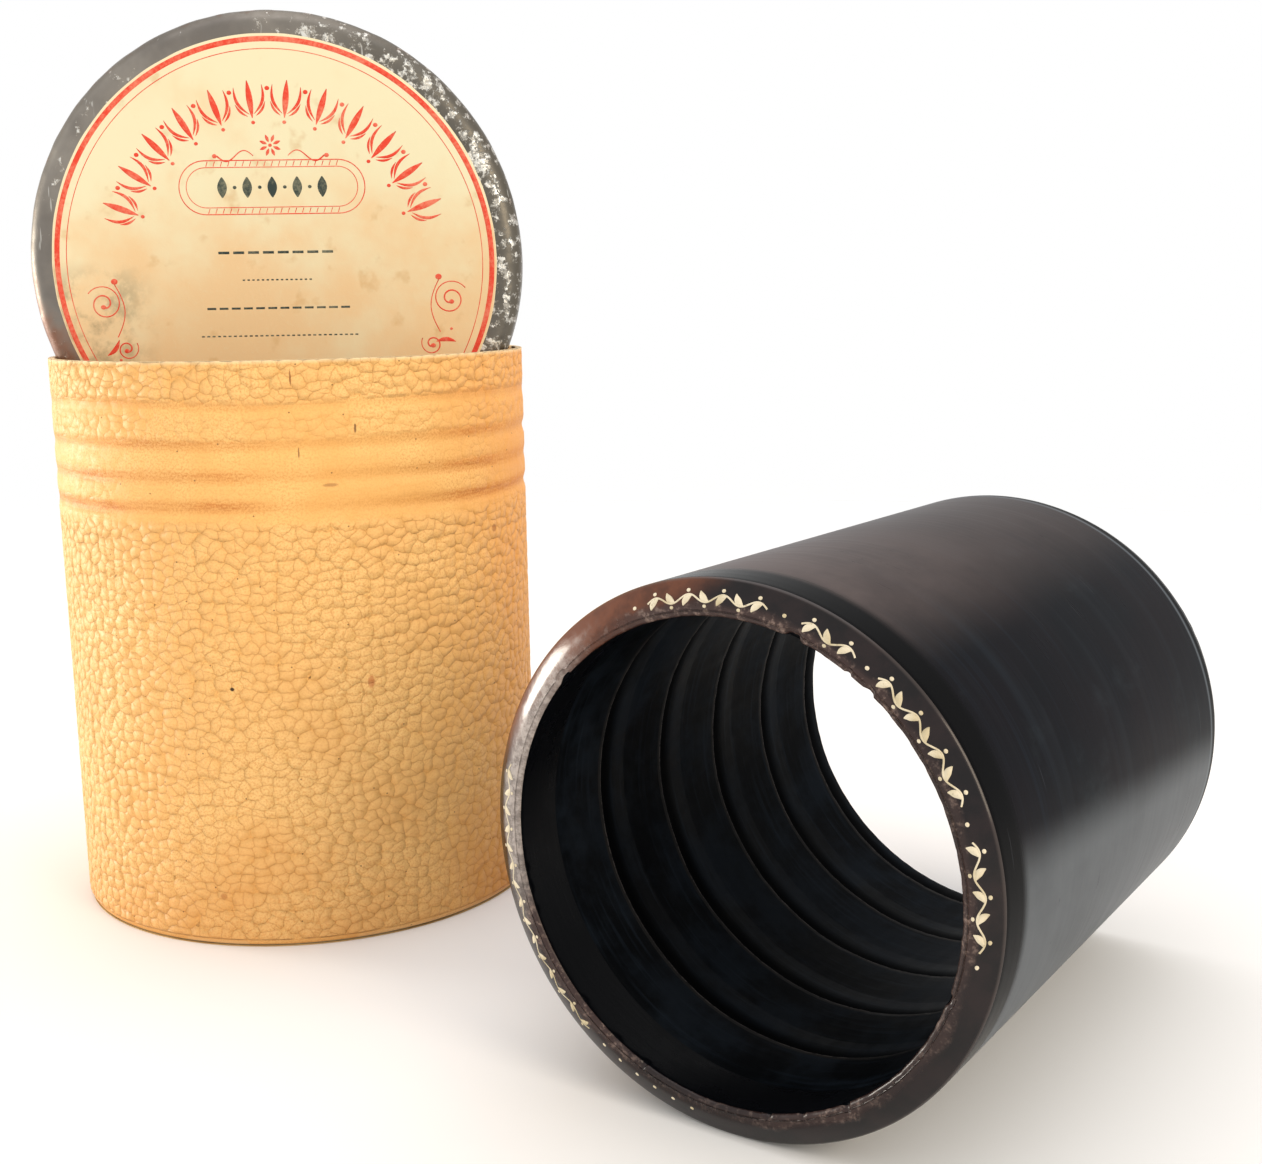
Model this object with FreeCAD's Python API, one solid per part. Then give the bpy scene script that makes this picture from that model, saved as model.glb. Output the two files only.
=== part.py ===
import FreeCAD, Part
import math
import os

from FreeCAD import Placement, Rotation, Vector

# A moulded wax cylinder record, the round carton it is kept in and the carton's tinplate lid.
# Millimetres, +Z up, origin at the centre of the carton's base on the surface it stands on.
# The record lies beside the carton with its axis along Y, its title end towards -Y.
# The lid stands on edge in the carton's mouth.

# Record
record_outer_radius = 44.5
record_length = 110.0
title_wall = 5.9
title_rim_advance = 2.5
title_rim_outer_round = 0.5
title_rim_inner_round = 0.8
mandrel_land_start = 10.0
mandrel_land_length = 13.5
mandrel_land_step = 1.7
bore_taper = 0.022
rib_pitch = 20.0
rib_height = 1.1
rib_crest_width = 0.8
rib_step_length = 1.0
rib_recess_length = 9.0
plain_end_margin = 4.0
plain_end_bevel_length = 2.5
plain_end_bevel_depth = 0.6
gap_beside_carton = 49.5

# Marks engraved in the title rim and filled with a pale paste: angles round the rim, from the right
mark_depth = 0.4
mark_stand = 0.03
dot_radius = 0.4
bar_width = 0.5
bar_length = 2.4
bar_slant = 18.0
title_run_from = -10.0
title_run_to = 110.0
title_run_bars = 31
side_run_from = 166.0
side_run_to = 232.0
side_run_dots = 12
low_run_from = 248.0
low_run_to = 266.0
low_run_dots = 5

# Carton, made round the record: its clearance, soft lining, board and paper
record_clearance = 2.5
record_headroom = 3.2
lining_thickness = 3.0
lining_drop = 11.0
board_thickness = 1.0
cover_thickness = 0.2
cover_foot_gap = 0.5
turn_in_depth = 10.0
turn_in_thickness = 0.2
mouth_round = 0.15
base_paper_thickness = 0.2
base_paper_inset = 0.4
base_disc_thickness = 1.6
base_pad_thickness = 1.5

# Rolled grooves below the mouth: distance below the mouth, width and depth of each
rolled_grooves = (
    (9.0, 3.6, 0.22),
    (17.2, 3.0, 0.45),
    (23.4, 3.0, 0.45),
    (29.4, 3.0, 0.45),
)

# Lid, which slips over the carton when it is closed
lid_slip = 0.4
lid_thickness = 0.3
lid_depth = 25.0
lid_shoulder = 4.0
hem_length = 3.0
hem_thickness = 0.6
label_margin = 1.3
label_thickness = 0.2
lid_pad_thickness = 1.2
lid_pad_gap = 0.4
lid_facing = -52.2
lid_clearance = 0.4

# Sizes that follow from the ones above
title_mouth_radius = record_outer_radius - title_wall
mandrel_land_radius = title_mouth_radius + mandrel_land_step
mandrel_land_end = mandrel_land_start + mandrel_land_length
rib_count = int((record_length - mandrel_land_end - plain_end_margin) / rib_pitch)
lining_inner_radius = record_outer_radius + record_clearance
board_inner_radius = lining_inner_radius + lining_thickness
board_outer_radius = board_inner_radius + board_thickness
carton_radius = board_outer_radius + cover_thickness
mouth_radius = board_inner_radius - turn_in_thickness
base_disc_top = base_paper_thickness + base_disc_thickness
base_pad_top = base_disc_top + base_pad_thickness
carton_height = base_pad_top + title_rim_advance + record_length + record_headroom
board_top = carton_height - turn_in_thickness
lid_radius = carton_radius + lid_slip + lid_thickness
label_radius = lid_radius - lid_shoulder - label_margin
record_axis_x = carton_radius + gap_beside_carton + record_outer_radius

# The lid stands so that both ends of its straight skirt meet the mouth alike
lid_face_offset = (lid_depth + lid_shoulder) / 2

origin = Vector(0, 0, 0)
up = Vector(0, 0, 1)


def line_to(radius, along):
    """A straight step of an outline, to a point given by its radius and its place along the axis."""
    return [(radius, along)]


def arc_to(middle, end):
    """A round step of an outline, through one point to another."""
    return [middle, end]


def outline(start, steps):
    """A closed face in the XZ plane from a start point and its straight and round steps."""
    edges = []
    here = Vector(start[0], 0, start[1])
    for step in steps + [line_to(*start)]:
        points = [Vector(radius, 0, along) for radius, along in step]
        if here.distanceToPoint(points[-1]) < 1e-9:
            continue
        if len(points) == 1:
            edges.append(Part.LineSegment(here, points[0]).toShape())
        else:
            edges.append(Part.Arc(here, points[0], points[1]).toShape())
        here = points[-1]
    return Part.Face(Part.Wire(edges))


def turned(start, steps):
    """A solid of revolution about Z."""
    return outline(start, steps).revolve(origin, up, 360)


def rounded(corner, before, after, size):
    """The two ends and the middle of a round of the given size at a corner between two points."""
    at = Vector(corner[0], 0, corner[1])
    back = (Vector(before[0], 0, before[1]) - at).normalize()
    ahead = (Vector(after[0], 0, after[1]) - at).normalize()
    half_angle = back.getAngle(ahead) / 2
    reach = size / math.tan(half_angle)
    first, last = at + back * reach, at + ahead * reach
    centre = at + (back + ahead).normalize() * (size / math.sin(half_angle))
    middle = centre + (at - centre).normalize() * size
    return [(point.x, point.z) for point in (first, middle, last)]


def disc(radius, bottom, top):
    """A flat round disc about Z."""
    return Part.makeCylinder(radius, top - bottom, Vector(0, 0, bottom))


def ring(inner, outer, bottom, top):
    """A plain tube about Z."""
    return disc(outer, bottom, top).cut(disc(inner, bottom, top))


def grooved_wall(radius):
    """The steps down a wall of the given radius, through the rolled grooves below the mouth."""
    steps = []
    for drop, width, depth in rolled_grooves:
        middle = carton_height - drop
        steps.append(line_to(radius, middle + width / 2))
        steps.append(arc_to((radius - depth, middle), (radius, middle - width / 2)))
    return steps


def reversed_steps(start, steps):
    """The same outline steps walked the other way, and the point they then start from."""
    points = [start] + [step[-1] for step in steps]
    back = []
    for index in range(len(steps) - 1, -1, -1):
        if len(steps[index]) == 2:
            back.append(arc_to(steps[index][0], points[index]))
        else:
            back.append(line_to(*points[index]))
    return points[-1], back


def board_tube():
    """The carton's board wall, with the rolled grooves in its outer face."""
    start = (board_outer_radius, board_top)
    steps = grooved_wall(board_outer_radius)
    steps.append(line_to(board_outer_radius, base_paper_thickness))
    steps.append(line_to(board_inner_radius, base_paper_thickness))
    steps.append(line_to(board_inner_radius, board_top))
    return turned(start, steps)


def cover_paper():
    """The embossed paper: down the outside, over the mouth and turned in."""
    turn_in_end = carton_height - turn_in_depth
    start = (mouth_radius, turn_in_end)
    steps = [line_to(mouth_radius, carton_height - mouth_round)]
    bend = mouth_round * (1 - math.sqrt(0.5))
    steps.append(
        arc_to((mouth_radius + bend, carton_height - bend), (mouth_radius + mouth_round, carton_height))
    )
    steps.append(line_to(carton_radius - mouth_round, carton_height))
    steps.append(
        arc_to((carton_radius - bend, carton_height - bend), (carton_radius, carton_height - mouth_round))
    )
    steps += grooved_wall(carton_radius)
    steps.append(line_to(carton_radius, cover_foot_gap))
    steps.append(line_to(board_outer_radius, cover_foot_gap))
    down = grooved_wall(board_outer_radius) + [line_to(board_outer_radius, cover_foot_gap)]
    steps += reversed_steps((board_outer_radius, board_top), down)[1]
    steps.append(line_to(board_inner_radius, board_top))
    steps.append(line_to(board_inner_radius, turn_in_end))
    return turned(start, steps)


def cotton_lining():
    """The soft lining of the tube, standing on the base pad."""
    return ring(lining_inner_radius, board_inner_radius, base_pad_top, carton_height - lining_drop)


def lid_height():
    """Height of the lid's centre when its skirt rests in the mouth, from the chord of the mouth there."""
    half_chord = math.sqrt(mouth_radius**2 - (lid_depth - lid_face_offset) ** 2) - lid_clearance
    return carton_height + math.sqrt(lid_radius**2 - half_chord**2)


def stood_in_mouth(shape):
    """Moves a lid piece, made with its face up at height 0, to where the lid stands in the mouth."""
    facing = Vector(math.cos(math.radians(lid_facing)), math.sin(math.radians(lid_facing)), 0)
    place = facing * lid_face_offset + up * lid_height()
    shape.Placement = Placement(place, Rotation(up, facing))
    return shape


def lid_shell():
    """The tinplate pan: flat face, rounded shoulder, straight skirt and a hem folded inwards."""
    inner_radius = lid_radius - lid_thickness
    inner_shoulder = lid_shoulder - lid_thickness
    shoulder_centre = (lid_radius - lid_shoulder, -lid_shoulder)
    slant = math.sqrt(0.5)
    hem_inner = lid_radius - hem_thickness
    hem_top = hem_length - lid_depth
    fold = hem_thickness / 2
    start = (0, 0)
    steps = [
        line_to(shoulder_centre[0], 0),
        arc_to(
            (shoulder_centre[0] + lid_shoulder * slant, shoulder_centre[1] + lid_shoulder * slant),
            (lid_radius, -lid_shoulder),
        ),
        line_to(lid_radius, fold - lid_depth),
        arc_to((lid_radius - fold, -lid_depth), (hem_inner, fold - lid_depth)),
        line_to(hem_inner, hem_top),
        line_to(inner_radius, hem_top),
        line_to(inner_radius, -lid_shoulder),
        arc_to(
            (shoulder_centre[0] + inner_shoulder * slant, shoulder_centre[1] + inner_shoulder * slant),
            (shoulder_centre[0], -lid_thickness),
        ),
        line_to(0, -lid_thickness),
    ]
    return stood_in_mouth(turned(start, steps))


def lid_label():
    """The round paper label on the lid's face."""
    return stood_in_mouth(disc(label_radius, 0, label_thickness))


def lid_pad():
    """The soft pad inside the lid, inside its rounded shoulder."""
    radius = lid_radius - lid_shoulder - lid_pad_gap
    return stood_in_mouth(disc(radius, -lid_thickness - lid_pad_thickness, -lid_thickness))


def laid_down(shape):
    """Moves a record piece, made upright with its title rim's outer edge at height 0, to where it lies."""
    place = Vector(record_axis_x, -record_length / 2, record_outer_radius)
    shape.Placement = Placement(place, Rotation(Vector(1, 0, 0), -90))
    return shape


def bore_steps():
    """The bore from the plain end back to the title mouth: ribs on a slow taper, then the plain land."""
    rising = [line_to(mandrel_land_radius, mandrel_land_end)]
    crest = mandrel_land_radius
    edge = mandrel_land_end
    for _ in range(rib_count):
        recess = crest + rib_height
        rising.append(line_to(recess, edge + rib_step_length))
        crest += bore_taper * rib_pitch
        rising.append(line_to(recess + bore_taper * rib_pitch / 2, edge + rib_recess_length))
        edge += rib_pitch
        rising.append(line_to(crest, edge - rib_crest_width))
        rising.append(line_to(crest, edge))
    rising.append(line_to(crest + rib_height, edge + rib_step_length))
    rising.append(line_to(crest + rib_height, record_length))
    return reversed_steps((mandrel_land_radius, mandrel_land_start), rising)


def record_blank():
    """The wax moulding before its title rim is engraved."""
    mouth = (title_mouth_radius, -title_rim_advance)
    edge = (record_outer_radius, 0)
    inside = (mandrel_land_radius, mandrel_land_start)
    mouth_first, mouth_middle, mouth_last = rounded(mouth, inside, edge, title_rim_inner_round)
    edge_first, edge_middle, edge_last = rounded(
        edge, mouth, (record_outer_radius, record_length), title_rim_outer_round
    )
    bore_start, bore = bore_steps()
    steps = [
        arc_to(mouth_middle, mouth_last),
        line_to(*edge_first),
        arc_to(edge_middle, edge_last),
        line_to(record_outer_radius, record_length - plain_end_bevel_length),
        line_to(record_outer_radius - plain_end_bevel_depth, record_length),
        line_to(*bore_start),
    ]
    return turned(mouth_first, steps + bore)


def mark_places():
    """The angle and the kind of each mark on the title rim, round from the right-hand side."""
    runs = (
        (title_run_from, title_run_to, title_run_bars, "bar"),
        (side_run_from, side_run_to, side_run_dots, "dot"),
        (low_run_from, low_run_to, low_run_dots, "dot"),
    )
    places = []
    for first, last, count, kind in runs:
        for index in range(count):
            places.append((first + (last - first) * index / (count - 1), kind))
    return places


def title_mark_solids():
    """Short bars and dots let into the title rim, each square to the rim's slope."""
    slope = math.degrees(math.atan2(title_rim_advance, record_outer_radius - title_mouth_radius))
    middle_radius = (record_outer_radius + title_mouth_radius) / 2
    solids = []
    for angle, kind in mark_places():
        if kind == "bar":
            solid = Part.makeBox(bar_length, bar_width, mark_depth + mark_stand)
            solid.translate(Vector(-bar_length / 2, -bar_width / 2, -mark_stand))
            solid.rotate(origin, up, bar_slant)
        else:
            solid = Part.makeCylinder(dot_radius, mark_depth + mark_stand, Vector(0, 0, -mark_stand))
        solid.rotate(origin, Vector(0, 1, 0), -slope)
        solid.translate(Vector(middle_radius, 0, -title_rim_advance / 2))
        solid.rotate(origin, up, -angle)
        solids.append(solid)
    return solids


def record_pieces():
    """The engraved record and the pale filling of its marks."""
    marks = title_mark_solids()
    body = record_blank().cut(marks)
    if len(body.Solids) != 1:
        raise ValueError("the engraved record must stay one solid")
    return laid_down(body.Solids[0]), laid_down(Part.makeCompound(marks))


record_body, title_marks = record_pieces()
pieces = {
    "record_body": record_body,
    "title_marks": title_marks,
    "board_tube": board_tube(),
    "cover_paper": cover_paper(),
    "cotton_lining": cotton_lining(),
    "base_disc": disc(board_inner_radius, base_paper_thickness, base_disc_top),
    "base_paper": disc(board_outer_radius - base_paper_inset, 0, base_paper_thickness),
    "base_pad": disc(board_inner_radius, base_disc_top, base_pad_top),
    "lid_shell": lid_shell(),
    "lid_label": lid_label(),
    "lid_pad": lid_pad(),
}

os.makedirs("parts", exist_ok=True)
for name, shape in pieces.items():
    if not shape.isValid() or shape.Volume <= 0:
        raise ValueError(f"{name} is not a sound solid")
    shape.exportStep(f"parts/{name}.step")
    box = shape.BoundBox
    print(
        f"{name:14s} {len(shape.Solids):3d} solids {shape.Volume:10.1f} mm3 "
        f"x {box.XMin:7.2f} {box.XMax:7.2f} y {box.YMin:7.2f} {box.YMax:7.2f} z {box.ZMin:7.2f} {box.ZMax:7.2f}"
    )
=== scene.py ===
"""The looks of a moulded wax cylinder record, its embossed carton and the carton's tinplate lid.

Sizes are in millimetres and go to metres where a mesh is made.
"""

import logging
import math
from dataclasses import dataclass, field
from enum import Enum
from typing import Callable

import bmesh
import bpy
import numpy as np
from mathutils import Matrix, Vector


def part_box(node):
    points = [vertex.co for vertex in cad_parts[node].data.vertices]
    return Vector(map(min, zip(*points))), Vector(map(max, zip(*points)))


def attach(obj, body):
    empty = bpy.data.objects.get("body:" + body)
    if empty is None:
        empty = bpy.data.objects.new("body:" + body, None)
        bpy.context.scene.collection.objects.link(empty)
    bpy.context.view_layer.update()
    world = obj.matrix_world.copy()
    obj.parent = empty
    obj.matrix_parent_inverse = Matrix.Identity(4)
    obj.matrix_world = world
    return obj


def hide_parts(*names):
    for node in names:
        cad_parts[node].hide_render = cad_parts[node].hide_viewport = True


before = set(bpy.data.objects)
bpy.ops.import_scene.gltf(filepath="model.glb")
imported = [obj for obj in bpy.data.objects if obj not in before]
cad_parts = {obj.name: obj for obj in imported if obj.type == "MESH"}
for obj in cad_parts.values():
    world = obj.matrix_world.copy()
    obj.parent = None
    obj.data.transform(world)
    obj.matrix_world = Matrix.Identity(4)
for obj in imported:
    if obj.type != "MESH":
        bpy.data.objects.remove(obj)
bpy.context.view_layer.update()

log = logging.getLogger("scene")
METRES = 0.001

Pair = tuple[float, float]
Triple = tuple[float, float, float]
Worn = tuple[np.ndarray, np.ndarray]
Wear = Callable[[np.ndarray, np.ndarray, np.ndarray], Worn]
Piece = bpy.types.Object
Socket = bpy.types.NodeSocket


class Body(Enum):
    """The bodies that pieces ride on."""

    CARTON = "carton"
    LID = "lid"
    RECORD = "record"


class Slot(Enum):
    """The record's material slots."""

    WAX = "record_wax"
    PASTE = "mark_paste"
    BOARD = "carton_board"
    PEBBLE = "pebble_paper"
    PAPER = "plain_paper"
    COTTON = "cotton"
    TIN = "tinplate"
    LABEL = "label_paper"


class WaxZone(Enum):
    """The parts of the record's surface that differ in finish, in the order of its material slots."""

    FACE = 0
    RIM = 1
    BORE = 2


def colour(code: str) -> tuple[float, float, float, float]:
    """Turns a colour written as six hexadecimal digits into linear light.

    Args:
        code: The colour, such as "E3A460".

    Returns:
        Its red, green and blue in linear light, and an alpha of 1.
    """
    parts = [int(code[at : at + 2], 16) / 255 for at in (0, 2, 4)]
    linear = [part / 12.92 if part <= 0.04045 else ((part + 0.055) / 1.055) ** 2.4 for part in parts]
    return (linear[0], linear[1], linear[2], 1.0)


def ripple(points: np.ndarray, size: float, seed: int, count: int = 28) -> np.ndarray:
    """A smooth random field: waves in random directions, added up.

    Args:
        points: Places in millimetres, with three numbers in the last axis.
        size: The usual length of a wave in millimetres.
        seed: Picks the field.
        count: How many waves are added.

    Returns:
        One value per place, mostly between -2 and 2.
    """
    rng = np.random.default_rng(seed)
    directions = rng.normal(size=(count, 3))
    directions /= np.linalg.norm(directions, axis=1, keepdims=True)
    pace = 2 * math.pi / size * rng.uniform(0.6, 1.4, count)
    phase = rng.uniform(0, 2 * math.pi, count)
    return np.sin(points @ (directions * pace[:, None]).T + phase).sum(axis=-1) / math.sqrt(count / 2)


def eased(value: np.ndarray, low: float, high: float) -> np.ndarray:
    """Goes smoothly from 0 at low to 1 at high."""
    share = np.clip((value - low) / (high - low), 0, 1)
    return share * share * (3 - 2 * share)


def around(radius: np.ndarray | float, angle: np.ndarray, out: np.ndarray) -> np.ndarray:
    """Local places from their radius, their angle and their place along the axis."""
    return np.stack([radius * np.cos(angle), radius * np.sin(angle), out], axis=-1)


@dataclass(frozen=True)
class Axes:
    """Where a round piece stands: its middle, its right, its up and the way its face looks."""

    middle: Triple
    right: Triple
    up: Triple

    @property
    def out(self) -> np.ndarray:
        """The way that the face looks."""
        return np.cross(self.right, self.up)

    def place(self, local: np.ndarray) -> np.ndarray:
        """Puts local places (right, up, out) into the row frame, both in millimetres.

        Args:
            local: Places as right, up and out, in the last axis.

        Returns:
            The same places as x, y and z.
        """
        return (
            np.array(self.middle)
            + local[..., :1] * np.array(self.right)
            + local[..., 1:2] * np.array(self.up)
            + local[..., 2:3] * self.out
        )


@dataclass(frozen=True)
class Corner:
    """A corner of a turned outline.

    Attributes:
        radius: Distance from the axis.
        out: Place along the axis.
        round: Size of the round at the corner.
        spacing: The most that points lie apart on the way to the next corner.
    """

    radius: float
    out: float
    round: float = 0.0
    spacing: float = 2.0


def outline_points(corners: list[Corner], closed: bool = True) -> np.ndarray:
    """Rounds the corners of an outline and divides its sides.

    Args:
        corners: The outline's corners in order.
        closed: Whether the last corner runs on to the first.

    Returns:
        The outline's points, as radius and place along the axis.
    """
    count = len(corners)
    at = np.array([(corner.radius, corner.out) for corner in corners])
    points: list[np.ndarray] = []
    for index, corner in enumerate(corners):
        if corner.round and (closed or 0 < index < count - 1):
            back = at[index - 1] - at[index]
            ahead = at[(index + 1) % count] - at[index]
            back /= np.linalg.norm(back)
            ahead /= np.linalg.norm(ahead)
            half_angle = math.acos(float(np.clip(back @ ahead, -1, 1))) / 2
            reach = corner.round / math.tan(half_angle)
            inward = (back + ahead) / np.linalg.norm(back + ahead)
            middle = at[index] + inward * corner.round / math.sin(half_angle)
            first, last = at[index] + back * reach, at[index] + ahead * reach
            turn = math.pi - 2 * half_angle
            steps = max(2, math.ceil(turn / math.radians(15)))
            for step in range(steps + 1):
                share = step / steps
                weights = math.sin((1 - share) * turn), math.sin(share * turn)
                arm = ((first - middle) * weights[0] + (last - middle) * weights[1]) / math.sin(turn)
                points.append(middle + arm)
        else:
            points.append(at[index])
        if not closed and index == count - 1:
            break
        following = corners[(index + 1) % count]
        target = at[(index + 1) % count]
        gap = np.linalg.norm(target - points[-1])
        steps = max(1, math.ceil((gap - following.round) / corner.spacing))
        start = points[-1]
        reach_end = target + (start - target) / gap * following.round if following.round else target
        for step in range(1, steps):
            points.append(start + (reach_end - start) * step / steps)
    return np.array(points)


def grid_faces(rows: int, columns: int, round_rows: bool, round_columns: bool) -> np.ndarray:
    """The four-sided faces between neighbouring points of a grid.

    Args:
        rows: How many rows the grid has.
        columns: How many columns it has.
        round_rows: Whether the last row joins the first.
        round_columns: Whether the last column joins the first.

    Returns:
        The faces, as rows of four point numbers.
    """
    row = np.arange(rows if round_rows else rows - 1)[:, None]
    column = np.arange(columns if round_columns else columns - 1)[None, :]
    next_row, next_column = (row + 1) % rows, (column + 1) % columns
    corners = (
        row * columns + column,
        row * columns + next_column,
        next_row * columns + next_column,
        next_row * columns + column,
    )
    return np.stack(np.broadcast_arrays(*corners), axis=-1).reshape(-1, 4)


def make_object(name: str, points: np.ndarray, faces: list) -> Piece:
    """Makes a smooth mesh object, with its faces looking outwards.

    Args:
        name: The object's name.
        points: Its points in millimetres, one row each.
        faces: Its faces, as rows of point numbers.

    Returns:
        The new object, linked to the scene.
    """
    mesh = bpy.data.meshes.new(name)
    mesh.from_pydata((points * METRES).tolist(), [], [list(map(int, face)) for face in faces])
    mesh.update()
    spread = points - points.mean(axis=0)
    volume = sum(
        float(np.dot(spread[face[0]], np.cross(spread[face[1]], spread[face[2]])))
        + (float(np.dot(spread[face[0]], np.cross(spread[face[2]], spread[face[3]]))) if len(face) > 3 else 0)
        for face in faces[:: max(1, len(faces) // 4000)]
    )
    if volume < 0:
        mesh.flip_normals()
    mesh.polygons.foreach_set("use_smooth", [True] * len(mesh.polygons))
    made = bpy.data.objects.new(name, mesh)
    bpy.context.scene.collection.objects.link(made)
    return made


def turned_object(name: str, axes: Axes, outline: np.ndarray, angles: np.ndarray, wear: Wear) -> Piece:
    """Turns a closed outline about an axis into a mesh that remembers each point's radius and place.

    Args:
        name: The object's name.
        axes: Where the piece stands.
        outline: The closed outline, as radius and place along the axis.
        angles: The angles of its columns, in radians.
        wear: Takes radius, place and angle, each with one value per point, and gives new radii and places.

    Returns:
        The new object. Its points carry "place", their radius and place along the axis, and "spread",
        their right, up and out.
    """
    radius, out, angle = np.broadcast_arrays(outline[:, :1], outline[:, 1:2], angles[None, :])
    place = np.stack([radius, out, 0 * radius], axis=-1)
    radius, out = wear(radius, out, angle)
    local = around(radius, angle, out)
    hollow = outline[0, 0] > 0
    faces = grid_faces(len(outline), len(angles), hollow, True)
    made = make_object(name, axes.place(local).reshape(-1, 3), faces)
    store(made, "place", place)
    store(made, "spread", local)
    if not hollow:
        shape = bmesh.new()
        shape.from_mesh(made.data)
        bmesh.ops.remove_doubles(shape, verts=shape.verts, dist=1e-7)
        shape.to_mesh(made.data)
        shape.free()
    return made


def store(piece: Piece, name: str, values: np.ndarray) -> None:
    """Stores one number or one vector for each point of a mesh.

    Args:
        piece: The mesh object.
        name: The attribute's name.
        values: One number or three for each point.
    """
    values = values.astype(np.float32)
    vector = values.shape[-1] == 3
    attribute = piece.data.attributes.new(name, "FLOAT_VECTOR" if vector else "FLOAT", "POINT")
    attribute.data.foreach_set("vector" if vector else "value", values.ravel())


def full_turn(count: int) -> np.ndarray:
    """Evenly spaced angles round a full turn."""
    return np.arange(count) * 2 * math.pi / count


def dress(piece: Piece, body: Body, materials: list, nodes: tuple[str, ...] = ()) -> None:
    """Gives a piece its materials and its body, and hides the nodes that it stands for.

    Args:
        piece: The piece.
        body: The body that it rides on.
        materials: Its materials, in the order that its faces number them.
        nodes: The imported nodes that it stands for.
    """
    for material in materials:
        piece.data.materials.append(material)
    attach(piece, body.value)
    if nodes:
        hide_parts(*nodes)
    log.info("%s: %d faces on %s", piece.name, len(piece.data.polygons), body.value)


class Nodes:
    """Short calls that add nodes to a tree and give their outputs."""

    def __init__(self, tree: bpy.types.NodeTree) -> None:
        """Starts on a tree."""
        self.tree = tree

    def add(self, kind: str, inputs: dict | None = None, **settings: object) -> bpy.types.Node:
        """Adds a node.

        Args:
            kind: The node's type.
            inputs: Values or sockets for its inputs, by name or number.
            settings: The node's own settings.

        Returns:
            The node.
        """
        node = self.tree.nodes.new(kind)
        for key, value in settings.items():
            setattr(node, key, value)
        for key, value in (inputs or {}).items():
            self.feed(node.inputs[key], value)
        return node

    def feed(self, socket: Socket, value: object) -> None:
        """Links a socket to an input, or sets its value.

        Args:
            socket: The input.
            value: A socket to link, a plain value, or None to leave the input as it is.
        """
        if isinstance(value, Socket):
            self.tree.links.new(value, socket)
        elif value is not None:
            socket.default_value = value

    def math(self, operation: str, first: object, second: object = None, clamp: bool = False) -> Socket:
        """Works out one number from one or two others."""
        inputs = {0: first, 1: second}
        return self.add("ShaderNodeMath", inputs, operation=operation, use_clamp=clamp).outputs[0]

    def times(self, first: object, second: object) -> Socket:
        """Multiplies two numbers."""
        return self.math("MULTIPLY", first, second)

    def plus(self, first: object, second: object, clamp: bool = False) -> Socket:
        """Adds two numbers."""
        return self.math("ADD", first, second, clamp)

    def minus(self, first: object, second: object) -> Socket:
        """Takes the second number from the first."""
        return self.math("SUBTRACT", first, second)

    def vector_math(self, operation: str, first: object, second: object = None) -> bpy.types.Node:
        """Works out a vector or a length from one or two vectors."""
        return self.add("ShaderNodeVectorMath", {0: first, 1: second}, operation=operation)

    def span(self, value: object, low: float, high: float, first: float = 0.0, last: float = 1.0) -> Socket:
        """Goes smoothly from first to last while a value goes from low to high."""
        inputs = {"Value": value, "From Min": low, "From Max": high, "To Min": first, "To Max": last}
        return self.add("ShaderNodeMapRange", inputs, interpolation_type="SMOOTHSTEP").outputs["Result"]

    def noise(self, vector: object, scale: float, detail: float = 3.0, roughness: float = 0.5) -> Socket:
        """A cloudy random value at each place."""
        inputs = {"Vector": vector, "Scale": scale, "Detail": detail, "Roughness": roughness}
        return self.add("ShaderNodeTexNoise", inputs).outputs["Fac"]

    def stretched(self, vector: object, scales: Triple) -> Socket:
        """Scales a vector by a number for each axis."""
        return self.vector_math("MULTIPLY", vector, scales).outputs["Vector"]

    def cells(self, vector: object, scale: float, randomness: float, feature: str) -> Socket:
        """A flat pattern of cells.

        Args:
            vector: Where the pattern is read.
            scale: How many cells lie along one unit.
            randomness: From 0 for an even grid to 1.
            feature: F1 for the nearest middle, or DISTANCE_TO_EDGE for the nearest edge.

        Returns:
            The distance, in cells.
        """
        inputs = {"Vector": vector, "Scale": scale, "Randomness": randomness}
        node = self.add("ShaderNodeTexVoronoi", inputs, voronoi_dimensions="2D", feature=feature)
        return node.outputs["Distance"]


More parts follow.
